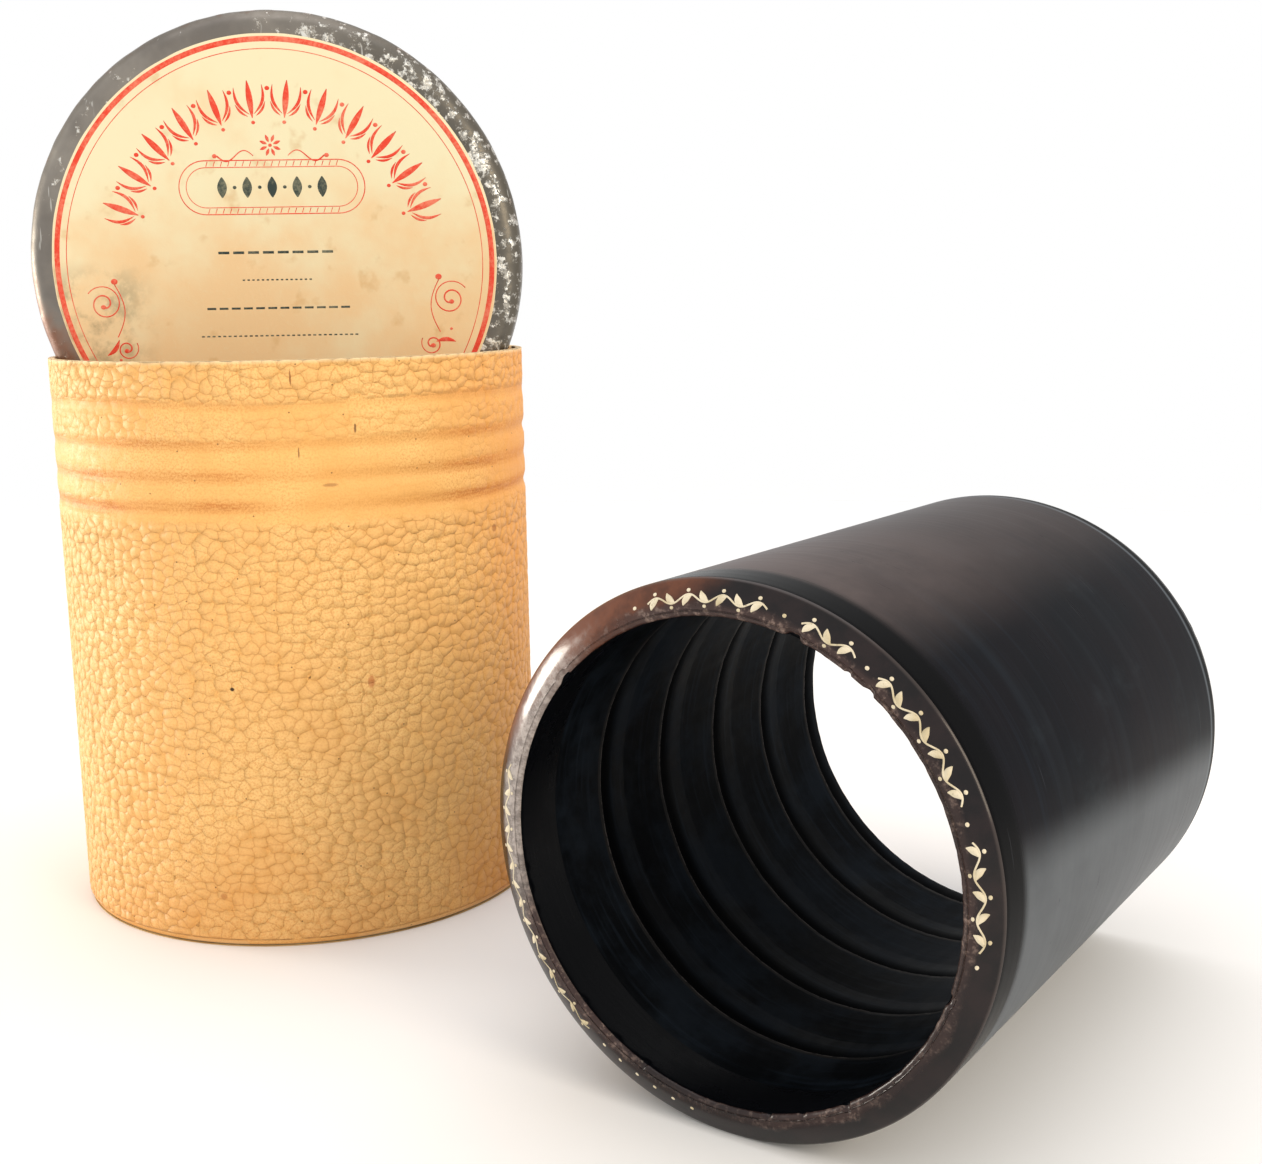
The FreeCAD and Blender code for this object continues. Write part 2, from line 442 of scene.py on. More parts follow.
class Paint(Nodes):
    """A material under one principled shader, and short calls for what feeds it."""

    def __init__(self, name: str, **values: object) -> None:
        """Starts a material.

        Args:
            name: The material's name.
            values: Plain values for the shader's sockets, with underscores for the spaces in their names.
        """
        self.material = bpy.data.materials.new(name)
        self.material.use_nodes = True
        super().__init__(self.material.node_tree)
        self.shader = self.tree.nodes["Principled BSDF"]
        for key, value in values.items():
            self.shader.inputs[key.replace("_", " ")].default_value = value
        self.here = self.add("ShaderNodeTexCoord").outputs["Object"]

    def attribute(self, name: str) -> bpy.types.Node:
        """Reads a value that the mesh carries."""
        return self.add("ShaderNodeAttribute", attribute_name=name)

    def parts(self, vector: object) -> tuple[Socket, ...]:
        """Splits a vector into its three numbers."""
        return tuple(self.add("ShaderNodeSeparateXYZ", {0: vector}).outputs)

    def stored(self, name: str) -> tuple[Socket, ...]:
        """Splits a vector that the mesh carries into its three numbers."""
        return self.parts(self.attribute(name).outputs["Vector"])

    def mix(self, share: object, first: object, second: object) -> Socket:
        """Mixes two colours, each a socket or six hexadecimal digits."""
        first, second = (colour(tone) if isinstance(tone, str) else tone for tone in (first, second))
        return self.add("ShaderNodeMix", {0: share, 6: first, 7: second}, data_type="RGBA").outputs[2]

    def bump(self, height: object, distance: float) -> Socket:
        """Turns a height into a slope of the surface, for a depth in millimetres."""
        inputs = {"Height": height, "Distance": distance * METRES, "Strength": 1.0}
        return self.add("ShaderNodeBump", inputs).outputs["Normal"]

    def finish(
        self, base: object, roughness: object = None, normal: object = None, metallic: object = None
    ) -> bpy.types.Material:
        """Feeds the shader and gives the material.

        Args:
            base: The colour.
            roughness: The roughness, or None for the shader's own.
            normal: The slope of the surface, or None for the mesh's own.
            metallic: How metallic it is, or None for not at all.

        Returns:
            The material.
        """
        feeds = {"Base Color": base, "Roughness": roughness, "Normal": normal, "Metallic": metallic}
        for name, value in feeds.items():
            if value is not None:
                self.feed(self.shader.inputs[name], value)
        return self.material


@dataclass(frozen=True)
class PebbleGrain:
    """The embossed grain of the carton's paper, on a flat map of the sheet in millimetres."""

    cell: Triple = (2.6, 2.0, 1.0)
    randomness: float = 0.8
    drift: float = 1.3
    reach: float = 0.8

    def cells(self, nodes: Nodes, sheet: object) -> tuple[Socket, Socket]:
        """The pebbles, in a shader or a mesh tree alike.

        Args:
            nodes: The tree that they are made in.
            sheet: The place on the flat sheet.

        Returns:
            The distance to the nearest crease, in cells, and the pebbles' height from 0 to 1.
        """
        inputs = {"Vector": sheet, "Scale": 0.28, "Detail": 2.0}
        warp = nodes.add("ShaderNodeTexNoise", inputs).outputs["Color"]
        centred = nodes.vector_math("SUBTRACT", warp, (0.5, 0.5, 0.5)).outputs["Vector"]
        moved = nodes.vector_math("SCALE", centred)
        moved.inputs["Scale"].default_value = 2 * self.drift
        place = nodes.vector_math("ADD", sheet, moved.outputs["Vector"]).outputs["Vector"]
        place = nodes.vector_math("DIVIDE", place, self.cell).outputs["Vector"]
        edge = nodes.cells(place, 1.0, self.randomness, "DISTANCE_TO_EDGE")
        away = nodes.cells(place, 1.0, self.randomness, "F1")
        share = nodes.math("DIVIDE", away, self.reach, clamp=True)
        return edge, nodes.minus(1.0, nodes.times(share, share))

    def emboss(self, piece: Piece, depth: float) -> None:
        """Presses the grain into a mesh along its normals, and keeps the result as plain geometry.

        Args:
            piece: The mesh, with the attributes "sheet" and "rubbed".
            depth: How deep the creases lie below the pebbles, in millimetres.
        """
        tree = bpy.data.node_groups.new("pebble_emboss", "GeometryNodeTree")
        tree.interface.new_socket("Geometry", in_out="INPUT", socket_type="NodeSocketGeometry")
        tree.interface.new_socket("Geometry", in_out="OUTPUT", socket_type="NodeSocketGeometry")
        nodes = Nodes(tree)
        start = nodes.add("NodeGroupInput")
        end = nodes.add("NodeGroupOutput")
        sheet = nodes.add("GeometryNodeInputNamedAttribute", {"Name": "sheet"}, data_type="FLOAT_VECTOR")
        rubbed = nodes.add("GeometryNodeInputNamedAttribute", {"Name": "rubbed"}, data_type="FLOAT")
        height = self.cells(nodes, sheet.outputs["Attribute"])[1]
        hollow = nodes.times(nodes.minus(height, 1.0), depth * METRES)
        kept = nodes.minus(1.0, rubbed.outputs["Attribute"])
        push = nodes.vector_math("SCALE", nodes.add("GeometryNodeInputNormal").outputs[0])
        nodes.feed(push.inputs["Scale"], nodes.times(hollow, kept))
        inputs = {"Geometry": start.outputs[0], "Offset": push.outputs["Vector"]}
        moved = nodes.add("GeometryNodeSetPosition", inputs)
        tree.links.new(moved.outputs[0], end.inputs[0])
        piece.modifiers.new("emboss", "NODES").node_group = tree
        pressed = bpy.data.meshes.new_from_object(piece.evaluated_get(bpy.context.evaluated_depsgraph_get()))
        piece.modifiers.clear()
        piece.data = pressed


@dataclass(frozen=True)
class Stain:
    """A mark on the carton: where it is, its half width and half height, and its colour."""

    azimuth: float
    drop: float
    half_width: float
    half_height: float
    tint: str
    strength: float = 0.8


@dataclass(frozen=True)
class PebblePaper:
    """Ochre paper with a pressed pebble grain, rubbed on the rolled grooves and soiled at the foot, with
    painted shade in its creases, on the side towards the record and low beside it, and a painted highlight on
    its pebbles' tops.
    """

    grain: PebbleGrain
    stains: tuple[Stain, ...]
    outer_radius: float
    top: float
    body_tint: str = "F9C679"
    warm_tint: str = "F3B869"
    pale_and_highlight_tint: str = "F5CB8E"
    crease_shade_tint: str = "B8661A"
    rub_tint: str = "D4822E"
    groove_tint: str = "C8742A"
    record_side_shade_tint: str = "E48C2E"
    soil_and_shade_tint: str = "C0701F"
    speck_tint: str = "6A3B16"
    worn_tint: str = "F4DDB0"

    def material(self) -> bpy.types.Material:
        """Builds the material."""
        paint = Paint("pebble_paper", Specular_IOR_Level=0.32)
        sheet = paint.attribute("sheet").outputs["Vector"]
        rubbed = paint.attribute("rubbed").outputs["Fac"]
        stained = paint.attribute("stained").outputs["Fac"]
        worn = paint.attribute("worn").outputs["Fac"]
        edge, dome = self.grain.cells(paint, sheet)
        kept = paint.minus(1.0, rubbed)
        broken = paint.span(paint.noise(sheet, 0.5, 3.0), 0.3, 0.5, 0.25, 1.0)
        crease = paint.times(paint.span(edge, 0.075, 0.0), paint.times(broken, kept))
        pillow = paint.times(dome, kept)
        cloud = paint.noise(sheet, 0.05, 3.0)
        fleck = paint.noise(sheet, 2.2, 5.0, 0.65)
        stipple = paint.noise(sheet, 2.2, 3.0, 0.75)
        tone = paint.mix(paint.span(cloud, 0.38, 0.62), self.warm_tint, self.body_tint)
        tone = paint.mix(paint.span(fleck, 0.5, 0.75, 0.0, 0.3), tone, self.pale_and_highlight_tint)
        # Painted highlight: the pebbles' tops are lightened in colour.
        tone = paint.mix(paint.times(pillow, 0.25), tone, self.pale_and_highlight_tint)
        # Painted shade: the creases between the pebbles are darkened in colour.
        tone = paint.mix(paint.times(crease, 0.28), tone, self.crease_shade_tint)
        dotted = paint.times(paint.span(stipple, 0.46, 0.62), paint.span(cloud, 0.4, 0.6, 0.25, 0.5))
        tone = paint.mix(dotted, tone, self.rub_tint)
        drag = paint.noise(paint.stretched(sheet, (0.12, 1.6, 1.0)), 1.0, 4.0, 0.6)
        grainy = paint.times(paint.span(drag, 0.3, 0.62, 0.5, 1.0), paint.span(stipple, 0.4, 0.56, 0.55, 1.0))
        tone = paint.mix(paint.times(stained, grainy), tone, self.groove_tint)
        along, above, _ = paint.parts(sheet)
        # Painted shade: the side that faces the record turns darker and warmer orange.
        nearer = paint.span(along, -0.35 * self.outer_radius, 0.5 * self.outer_radius)
        nearer = paint.times(nearer, paint.span(along, 1.9 * self.outer_radius, 1.1 * self.outer_radius))
        tone = paint.mix(paint.times(nearer, 0.5), tone, self.record_side_shade_tint)
        # Darker towards the foot: soil all round, with painted shade from the record added on the side nearer
        # it.
        low = paint.plus(above, paint.times(cloud, 26.0))
        soil_and_shade = paint.plus(paint.times(nearer, 0.35), 0.25)
        tone = paint.mix(paint.times(paint.span(low, 46.0, 12.0), soil_and_shade), tone, self.soil_and_shade_tint)
        tone = self.stained(paint, sheet, tone)
        specks = paint.cells(sheet, 0.08, 1.0, "F1")
        ragged = paint.plus(specks, paint.times(fleck, 0.02))
        tone = paint.mix(paint.span(ragged, 0.027, 0.019, 0.0, 0.75), tone, self.speck_tint)
        tone = paint.mix(paint.times(worn, 0.8), tone, self.worn_tint)
        height = paint.minus(paint.times(fleck, 0.08), paint.times(crease, 0.05))
        height = paint.plus(height, pillow)
        roughness = paint.span(paint.noise(sheet, 0.4, 3.0), 0.3, 0.7, 0.5, 0.66)
        return paint.finish(tone, roughness, paint.bump(height, 0.62))

    def stained(self, paint: Paint, sheet: object, tone: object) -> Socket:
        """Lays the marks over a tone.

        Args:
            paint: The material.
            sheet: The place on the flat sheet.
            tone: The colour under the marks.

        Returns:
            The colour with the marks.
        """
        for stain in self.stains:
            middle = (math.radians(stain.azimuth) * self.outer_radius, self.top - stain.drop, 0.0)
            away = paint.vector_math("SUBTRACT", sheet, middle).outputs["Vector"]
            share = paint.stretched(away, (1 / stain.half_width, 1 / stain.half_height, 0.0))
            length = paint.vector_math("LENGTH", share).outputs["Value"]
            ragged = paint.plus(length, paint.times(paint.noise(sheet, 3.0, 2.0), 0.5))
            tone = paint.mix(paint.span(ragged, 1.3, 0.8, 0.0, stain.strength), tone, stain.tint)
        return tone


@dataclass(frozen=True)
class SoftCotton:
    """Unbleached cotton wadding with loose fibres."""

    name: str
    tint: str = "DDD2BC"
    shade: str = "C9BCA0"
    fibre_tint: str = "EFE8D8"

    def material(self) -> bpy.types.Material:
        """Builds the material."""
        sheen = {"Sheen_Weight": 0.35, "Sheen_Roughness": 0.6}
        paint = Paint(self.name, Specular_IOR_Level=0.15, Roughness=0.95, **sheen)
        fibres = paint.noise(paint.here, 1500.0, 6.0, 0.7)
        clumps = paint.noise(paint.here, 420.0, 4.0, 0.6)
        tone = paint.mix(paint.span(clumps, 0.35, 0.65), self.shade, self.tint)
        tone = paint.mix(paint.span(fibres, 0.5, 0.7, 0.0, 0.5), tone, self.fibre_tint)
        height = paint.plus(paint.times(fibres, 0.4), clumps)
        return paint.finish(tone, None, paint.bump(height, 0.5))


@dataclass(frozen=True)
class PlainBoard:
    """Wound straw board or plain wrapping paper: short fibres and cloudy tone."""

    name: str
    tint: str
    shade: str

    def material(self) -> bpy.types.Material:
        """Builds the material."""
        paint = Paint(self.name, Specular_IOR_Level=0.25)
        fibres = paint.noise(paint.stretched(paint.here, (1.0, 1.0, 4.0)), 900.0, 6.0, 0.7)
        cloud = paint.noise(paint.here, 70.0, 3.0)
        tone = paint.mix(paint.span(cloud, 0.35, 0.65), self.shade, self.tint)
        tone = paint.mix(paint.span(fibres, 0.55, 0.75, 0.0, 0.5), tone, self.shade)
        return paint.finish(tone, paint.span(fibres, 0.3, 0.7, 0.75, 0.9), paint.bump(fibres, 0.06))


@dataclass(frozen=True)
class DulledTin:
    """Old tinplate: grey and dull, darkened on its right side as painted shade, with bright speckles of
    rubbed tin and painted glints on its front and shoulder, thicker to the right, and a little rust.
    """

    lid_radius: float
    dark: str = "77716A"
    mid: str = "979086"
    rub_and_glint_tint: str = "DEDCD4"
    rust: str = "7A4A2E"
    shaded_side_tint: str = "57544C"
    edge_tint: str = "5C5242"

    def material(self) -> bpy.types.Material:
        """Builds the material."""
        paint = Paint("tinplate", Specular_IOR_Level=0.5)
        radius, out, _ = paint.stored("place")
        across, up, _ = paint.stored("spread")
        fine = paint.noise(paint.here, 1100.0, 3.0, 0.6)
        patches = paint.noise(paint.here, 45.0, 4.0, 0.6)
        grit = paint.noise(paint.here, 420.0, 6.0, 0.7)
        leaned = paint.plus(paint.times(across, 0.94), paint.times(up, 0.34))
        right = paint.math("DIVIDE", leaned, self.lid_radius)
        side = paint.span(right, 0.1, 0.95)
        inward = paint.span(radius, self.lid_radius - 0.8, self.lid_radius - 3.6)
        front = paint.span(out, -11.0, -4.5)
        # Bright speckles, rubbed tin with painted glints, grow thicker to the right and inwards on the front.
        thick = paint.plus(paint.times(side, 0.15), paint.times(inward, 0.07))
        thick = paint.times(thick, front)
        speckle = paint.plus(paint.plus(grit, thick), paint.times(patches, 0.5))
        broken = paint.times(paint.span(speckle, 0.93, 1.0), paint.span(fine, 0.4, 0.56, 0.35, 1.0))
        tone = paint.mix(paint.span(patches, 0.35, 0.7), self.dark, self.mid)
        # Painted shade: the right side of the lid is darkened.
        tone = paint.mix(paint.times(side, 0.75), tone, self.shaded_side_tint)
        outer_edge = paint.span(radius, self.lid_radius - 2.0, self.lid_radius - 0.4, 0.0, 0.55)
        tone = paint.mix(outer_edge, tone, self.edge_tint)
        tone = paint.mix(broken, tone, self.rub_and_glint_tint)
        rusty = paint.times(paint.span(right, -0.75, -1.0), paint.span(patches, 0.45, 0.6))
        rusty = paint.times(rusty, paint.plus(paint.times(front, 0.55), 0.45))
        at_rim = paint.span(radius, self.lid_radius - 1.6, self.lid_radius)
        rim_rust = paint.times(at_rim, paint.span(grit, 0.52, 0.7))
        tone = paint.mix(paint.math("MAXIMUM", rusty, paint.times(rim_rust, 0.6)), tone, self.rust)
        scratch = paint.noise(paint.stretched(paint.here, (1.0, 1.0, 0.12)), 900.0, 2.0, 0.5)
        tone = paint.mix(paint.span(scratch, 0.68, 0.74, 0.0, 0.5), tone, self.rub_and_glint_tint)
        metallic = paint.minus(0.88, paint.times(rusty, 0.7))
        roughness = paint.minus(paint.span(grit, 0.3, 0.7, 0.36, 0.52), paint.times(broken, 0.16))
        height = paint.plus(paint.times(grit, 0.5), paint.times(broken, 0.6))
        return paint.finish(tone, roughness, paint.bump(height, 0.14), metallic)


@dataclass(frozen=True)
class AgedLabel:
    """Cream label paper, buff with age, with foxing and grey smudges low on its left side."""

    label_radius: float
    pale: str = "E8DEB8"
    buff: str = "E8C797"
    foxing: str = "C99B5C"
    smudge: str = "8E8264"
    edge_tint: str = "F3E3BF"

    def material(self) -> bpy.types.Material:
        """Builds the material."""
        paint = Paint("label_paper", Specular_IOR_Level=0.25)
        radius = paint.stored("place")[0]
        across, up, _ = paint.stored("spread")
        cloud = paint.noise(paint.here, 38.0, 4.0, 0.6)
        fibre = paint.noise(paint.here, 1100.0, 5.0, 0.7)
        age = paint.plus(cloud, paint.span(up, 30.0, -20.0, -0.18, 0.16))
        tone = paint.mix(paint.span(age, 0.32, 0.68), self.pale, self.buff)
        spots = paint.noise(paint.here, 190.0, 3.0, 0.5)
        tone = paint.mix(paint.span(spots, 0.6, 0.76, 0.0, 0.4), tone, self.foxing)
        tone = paint.mix(paint.span(fibre, 0.5, 0.75, 0.0, 0.2), tone, self.pale)
        low_left = paint.times(paint.span(across, -24.0, -34.0), paint.span(up, 2.0, -6.0))
        grime = paint.noise(paint.here, 120.0, 5.0, 0.65)
        dirt = paint.times(low_left, paint.span(grime, 0.42, 0.62, 0.0, 0.62))
        tone = paint.mix(dirt, tone, self.smudge)
        edge = paint.span(radius, self.label_radius - 0.35, self.label_radius, 0.0, 0.6)
        tone = paint.mix(edge, tone, self.edge_tint)
        height = paint.plus(fibre, cloud)
        return paint.finish(tone, paint.span(fibre, 0.3, 0.7, 0.62, 0.78), paint.bump(height, 0.03))


@dataclass(frozen=True)
class PrintedInk:
    """Printing ink that has sunk into old paper and worn thin in places."""

    name: str
    tint: str
    thin: str
    wear: float = 0.5

    def material(self) -> bpy.types.Material:
        """Builds the material."""
        paint = Paint(self.name, Specular_IOR_Level=0.25, Roughness=0.7)
        broad = paint.noise(paint.here, 130.0, 3.0, 0.6)
        fine = paint.noise(paint.here, 1400.0, 4.0, 0.7)
        thinned = paint.span(paint.plus(broad, fine), 0.85, 1.25, 0.0, self.wear)
        tone = paint.mix(thinned, self.tint, self.thin)
        return paint.finish(tone, None, paint.bump(fine, 0.02))


@dataclass(frozen=True)
class CreamPaste:
    """The dry cream filling of the record's marks."""

    cream: str = "DDD1B6"
    buff: str = "BFB08C"
    grime: str = "8C7A5C"

    def material(self) -> bpy.types.Material:
        """Builds the material."""
        paint = Paint("mark_paste", Specular_IOR_Level=0.3, Roughness=0.72)
        grit = paint.noise(paint.here, 1600.0, 4.0, 0.7)
        patches = paint.noise(paint.here, 210.0, 3.0, 0.6)
        tone = paint.mix(paint.span(patches, 0.4, 0.7), self.cream, self.buff)
        tone = paint.mix(paint.span(grit, 0.58, 0.72, 0.0, 0.7), tone, self.grime)
        return paint.finish(tone, None, paint.bump(grit, 0.05))


@dataclass(frozen=True)
class RecordWax:
    """The black wax of the record's face: satin and finely ringed, with a painted brown sheen above, a
    painted grey floor reflection below, dark at the title end, and painted shade and a painted highlight line
    at the plain end's bevel.

    Attributes:
        sheen_heights: Between which heights above the axis the painted brown sheen comes in.
        floor_reflection_heights: Between which heights the painted grey floor reflection comes in, on the way
            down.
        floor_reflection_slant: What each millimetre along the axis adds to that height.
        dark_margin: Between which places along the axis the title end turns dark.
    """

    length: float
    bevel_length: float
    black: str = "0A0E13"
    warm_black: str = "120F13"
    ring_tint: str = "1B232C"
    arc_tint: str = "242A30"
    bloom_tint: str = "2A3136"
    brown: str = "5A504E"
    grey: str = "595D61"
    margin_tint: str = "030304"
    bevel_shade_tint: str = "040506"
    highlight_line_tint: str = "737C84"
    scratch_tint: str = "4B4F54"
    sheen_heights: Pair = (32.0, 46.0)
    floor_reflection_heights: Pair = (12.0, 2.0)
    floor_reflection_slant: float = -0.08
    dark_margin: Pair = (-9.5, -6.0)

    def material(self) -> bpy.types.Material:
        """Builds the material."""
        paint = Paint("record_wax", Specular_IOR_Level=0.013)
        out = paint.stored("place")[1]
        rings = paint.noise(paint.stretched(paint.here, (14.0, 900.0, 14.0)), 1.0, 5.0, 0.65)
        broad = paint.noise(paint.here, 24.0, 3.0, 0.55)
        bloom = paint.noise(paint.stretched(paint.here, (1.0, 0.7, 1.0)), 60.0, 5.0, 0.65)
        tone = paint.mix(paint.span(broad, 0.35, 0.7), self.black, self.warm_black)
        tone = paint.mix(paint.span(rings, 0.5, 0.74, 0.0, 0.4), tone, self.ring_tint)
        arcs = paint.noise(paint.stretched(paint.here, (9.0, 190.0, 9.0)), 1.0, 3.0, 0.6)
        tone = paint.mix(paint.span(arcs, 0.5, 0.72, 0.0, 0.2), tone, self.arc_tint)
        tone = paint.mix(paint.span(bloom, 0.52, 0.78, 0.0, 0.5), tone, self.bloom_tint)
        up = paint.stored("spread")[1]
        # Painted sheen: the upper side turns brown-grey, standing in for the bright surroundings mirrored
        # there.
        painted_sheen = paint.times(paint.span(up, *self.sheen_heights), paint.span(out, -80.0, -8.0, 0.5, 1.0))
        tone = paint.mix(paint.times(painted_sheen, paint.span(bloom, 0.3, 0.6, 0.7, 1.0)), tone, self.brown)
        # Painted reflection: the lower side turns grey where the wax would mirror the pale floor.
        slanted = paint.plus(up, paint.times(out, self.floor_reflection_slant))
        rolled = paint.times(paint.span(slanted, *self.floor_reflection_heights), paint.span(bloom, 0.3, 0.6, 0.8, 1.0))
        tone = paint.mix(rolled, tone, self.grey)
        margin = paint.span(out, *self.dark_margin)
        tone = paint.mix(margin, tone, self.margin_tint)
        # Painted shade darkens the plain end's bevel, and a painted highlight runs as a pale line where the
        # bevel starts.
        from_end = paint.plus(out, self.length)
        bevel_shade = paint.span(from_end, self.bevel_length + 1.7, self.bevel_length + 1.2)
        tone = paint.mix(bevel_shade, tone, self.bevel_shade_tint)
        line = paint.math("ABSOLUTE", paint.minus(from_end, self.bevel_length + 2.2))
        tone = paint.mix(paint.span(line, 0.8, 0.1, 0.0, 0.4), tone, self.highlight_line_tint)
        scratch = paint.noise(paint.stretched(paint.here, (60.0, 1300.0, 60.0)), 1.0, 2.0, 0.4)
        tone = paint.mix(paint.span(scratch, 0.72, 0.77, 0.0, 0.25), tone, self.scratch_tint)
        roughness = paint.span(paint.plus(rings, paint.times(bloom, 0.6)), 0.5, 1.1, 0.27, 0.35)
        roughness = paint.minus(roughness, paint.times(margin, 0.08))
        height = paint.plus(rings, paint.times(bloom, 0.5))
        return paint.finish(tone, roughness, paint.bump(height, 0.003))


@dataclass(frozen=True)
class RimWax:
    """The title rim's wax: dark brown, redder and rough along its chipped inner edge, with a painted copper
    reflection of the carton at the upper left, pale wear with a painted highlight at the left, and a painted
    highlight along its outer edge.
    """

    mouth_radius: float
    outer_radius: float
    dark: str = "0D0809"
    brown: str = "1D1313"
    carton_reflection_tint: str = "6E3F28"
    inner_tint: str = "3A2925"
    rough_tint: str = "7E6A60"
    pale_and_highlight_tint: str = "BDB2AA"
    edge_tint: str = "4F4642"

    def material(self) -> bpy.types.Material:
        """Builds the material."""
        paint = Paint("rim_wax", Specular_IOR_Level=0.3)
        radius = paint.stored("place")[0]
        across, up, _ = paint.stored("spread")
        wander = paint.noise(paint.here, 190.0, 4.0, 0.6)
        grit = paint.noise(paint.here, 800.0, 5.0, 0.7)
        reach = paint.plus(radius, paint.times(paint.minus(wander, 0.5), 3.6))
        patches = paint.noise(paint.here, 24.0, 2.0)
        inner = paint.span(reach, self.mouth_radius + 2.9, self.mouth_radius + 1.5)
        inner = paint.times(inner, paint.span(patches, 0.42, 0.6, 0.3, 1.0))
        tone = paint.mix(paint.span(wander, 0.35, 0.65), self.dark, self.brown)
        # Painted reflection: the carton's copper glow on the upper left of the rim.
        leaned = paint.plus(paint.times(across, -0.64), paint.times(up, 0.77))
        reflection_side = paint.span(leaned, self.outer_radius * 0.72, self.outer_radius * 0.9)
        tone = paint.mix(paint.times(reflection_side, paint.span(wander, 0.3, 0.6, 0.5, 0.95)), tone, self.carton_reflection_tint)
        tone = paint.mix(paint.times(inner, 0.9), tone, self.inner_tint)
        lift = paint.times(inner, paint.span(grit, 0.5, 0.7))
        tone = paint.mix(lift, tone, self.rough_tint)
        # Pale wear with a painted highlight on the left, over the inner part of the rim.
        turned = paint.plus(paint.times(across, -0.97), paint.times(up, 0.26))
        left = paint.span(turned, self.outer_radius * 0.68, self.outer_radius * 0.87)
        worn_in = paint.span(reach, self.mouth_radius + 4.8, self.mouth_radius + 2.4)
        pale = paint.times(paint.times(left, worn_in), paint.span(grit, 0.4, 0.6, 0.4, 0.8))
        tone = paint.mix(pale, tone, self.pale_and_highlight_tint)
        # Painted highlight: a lighter line along the rim's outer edge.
        edge = paint.span(radius, self.outer_radius - 0.45, self.outer_radius - 0.1, 0.0, 0.4)
        tone = paint.mix(edge, tone, self.edge_tint)
        roughness = paint.plus(paint.span(grit, 0.3, 0.7, 0.12, 0.22), paint.times(inner, 0.2))
        height = paint.plus(paint.times(paint.times(grit, inner), 1.5), wander)
        return paint.finish(tone, roughness, paint.bump(height, 0.05))


@dataclass(frozen=True)
class BoreWax:
    """The bore's wax: blue black and matt, with painted highlights along its rib crests and painted shade in
    the recess behind each crest.
    """

    land_start: float
    land_end: float
    rib_pitch: float
    dark: str = "06080B"
    blue_black: str = "181E25"
    streak_tint: str = "212932"
    recess_shade_tint: str = "020203"
    mouth_tint: str = "07080B"
    crest_highlight_tint: str = "262423"
    highlight_line_tint: str = "5A5450"

    def material(self) -> bpy.types.Material:
        """Builds the material."""
        paint = Paint("bore_wax", Specular_IOR_Level=0.018)
        out = paint.stored("place")[1]
        deep = paint.times(out, -1.0)
        cloud = paint.noise(paint.here, 75.0, 5.0, 0.6)
        streaks = paint.noise(paint.stretched(paint.here, (40.0, 700.0, 40.0)), 1.0, 4.0, 0.6)
        grit = paint.noise(paint.here, 900.0, 4.0, 0.7)
        tone = paint.mix(paint.span(cloud, 0.4, 0.64), self.dark, self.blue_black)
        tone = paint.mix(paint.span(streaks, 0.5, 0.75, 0.0, 0.6), tone, self.streak_tint)
        ribbed = paint.span(deep, self.land_end - 0.2, self.land_end)
        past = paint.math("FLOORED_MODULO", paint.minus(deep, self.land_end), self.rib_pitch)
        # Painted shade: each recess is darkened just behind its crest, fading towards the next one.
        recess = paint.times(paint.span(past, 6.5, 2.2), ribbed)
        tone = paint.mix(paint.times(recess, 0.97), tone, self.recess_shade_tint)
        mouth = paint.span(deep, self.land_start + 0.3, self.land_start - 0.3)
        tone = paint.mix(mouth, tone, self.mouth_tint)
        # Painted highlight along each rib crest: a lighter band on its top and a pale line at its edge.
        from_land = paint.span(deep, self.land_end - 1.2, self.land_end - 0.8)
        crest = paint.times(paint.span(past, self.rib_pitch - 1.0, self.rib_pitch - 0.8), from_land)
        tone = paint.mix(crest, tone, self.crest_highlight_tint)
        away = paint.math("MINIMUM", past, paint.minus(self.rib_pitch, past))
        line = paint.times(paint.times(paint.span(away, 0.45, 0.12), from_land), paint.span(grit, 0.4, 0.55))
        faded = paint.times(line, paint.span(cloud, 0.38, 0.6, 0.1, 0.7))
        tone = paint.mix(faded, tone, self.highlight_line_tint)
        roughness = paint.minus(paint.span(cloud, 0.3, 0.7, 0.34, 0.48), paint.times(mouth, 0.12))
        roughness = paint.plus(roughness, paint.times(recess, 0.4), clamp=True)
        height = paint.plus(streaks, paint.times(grit, 0.5))
        return paint.finish(tone, roughness, paint.bump(height, 0.03))


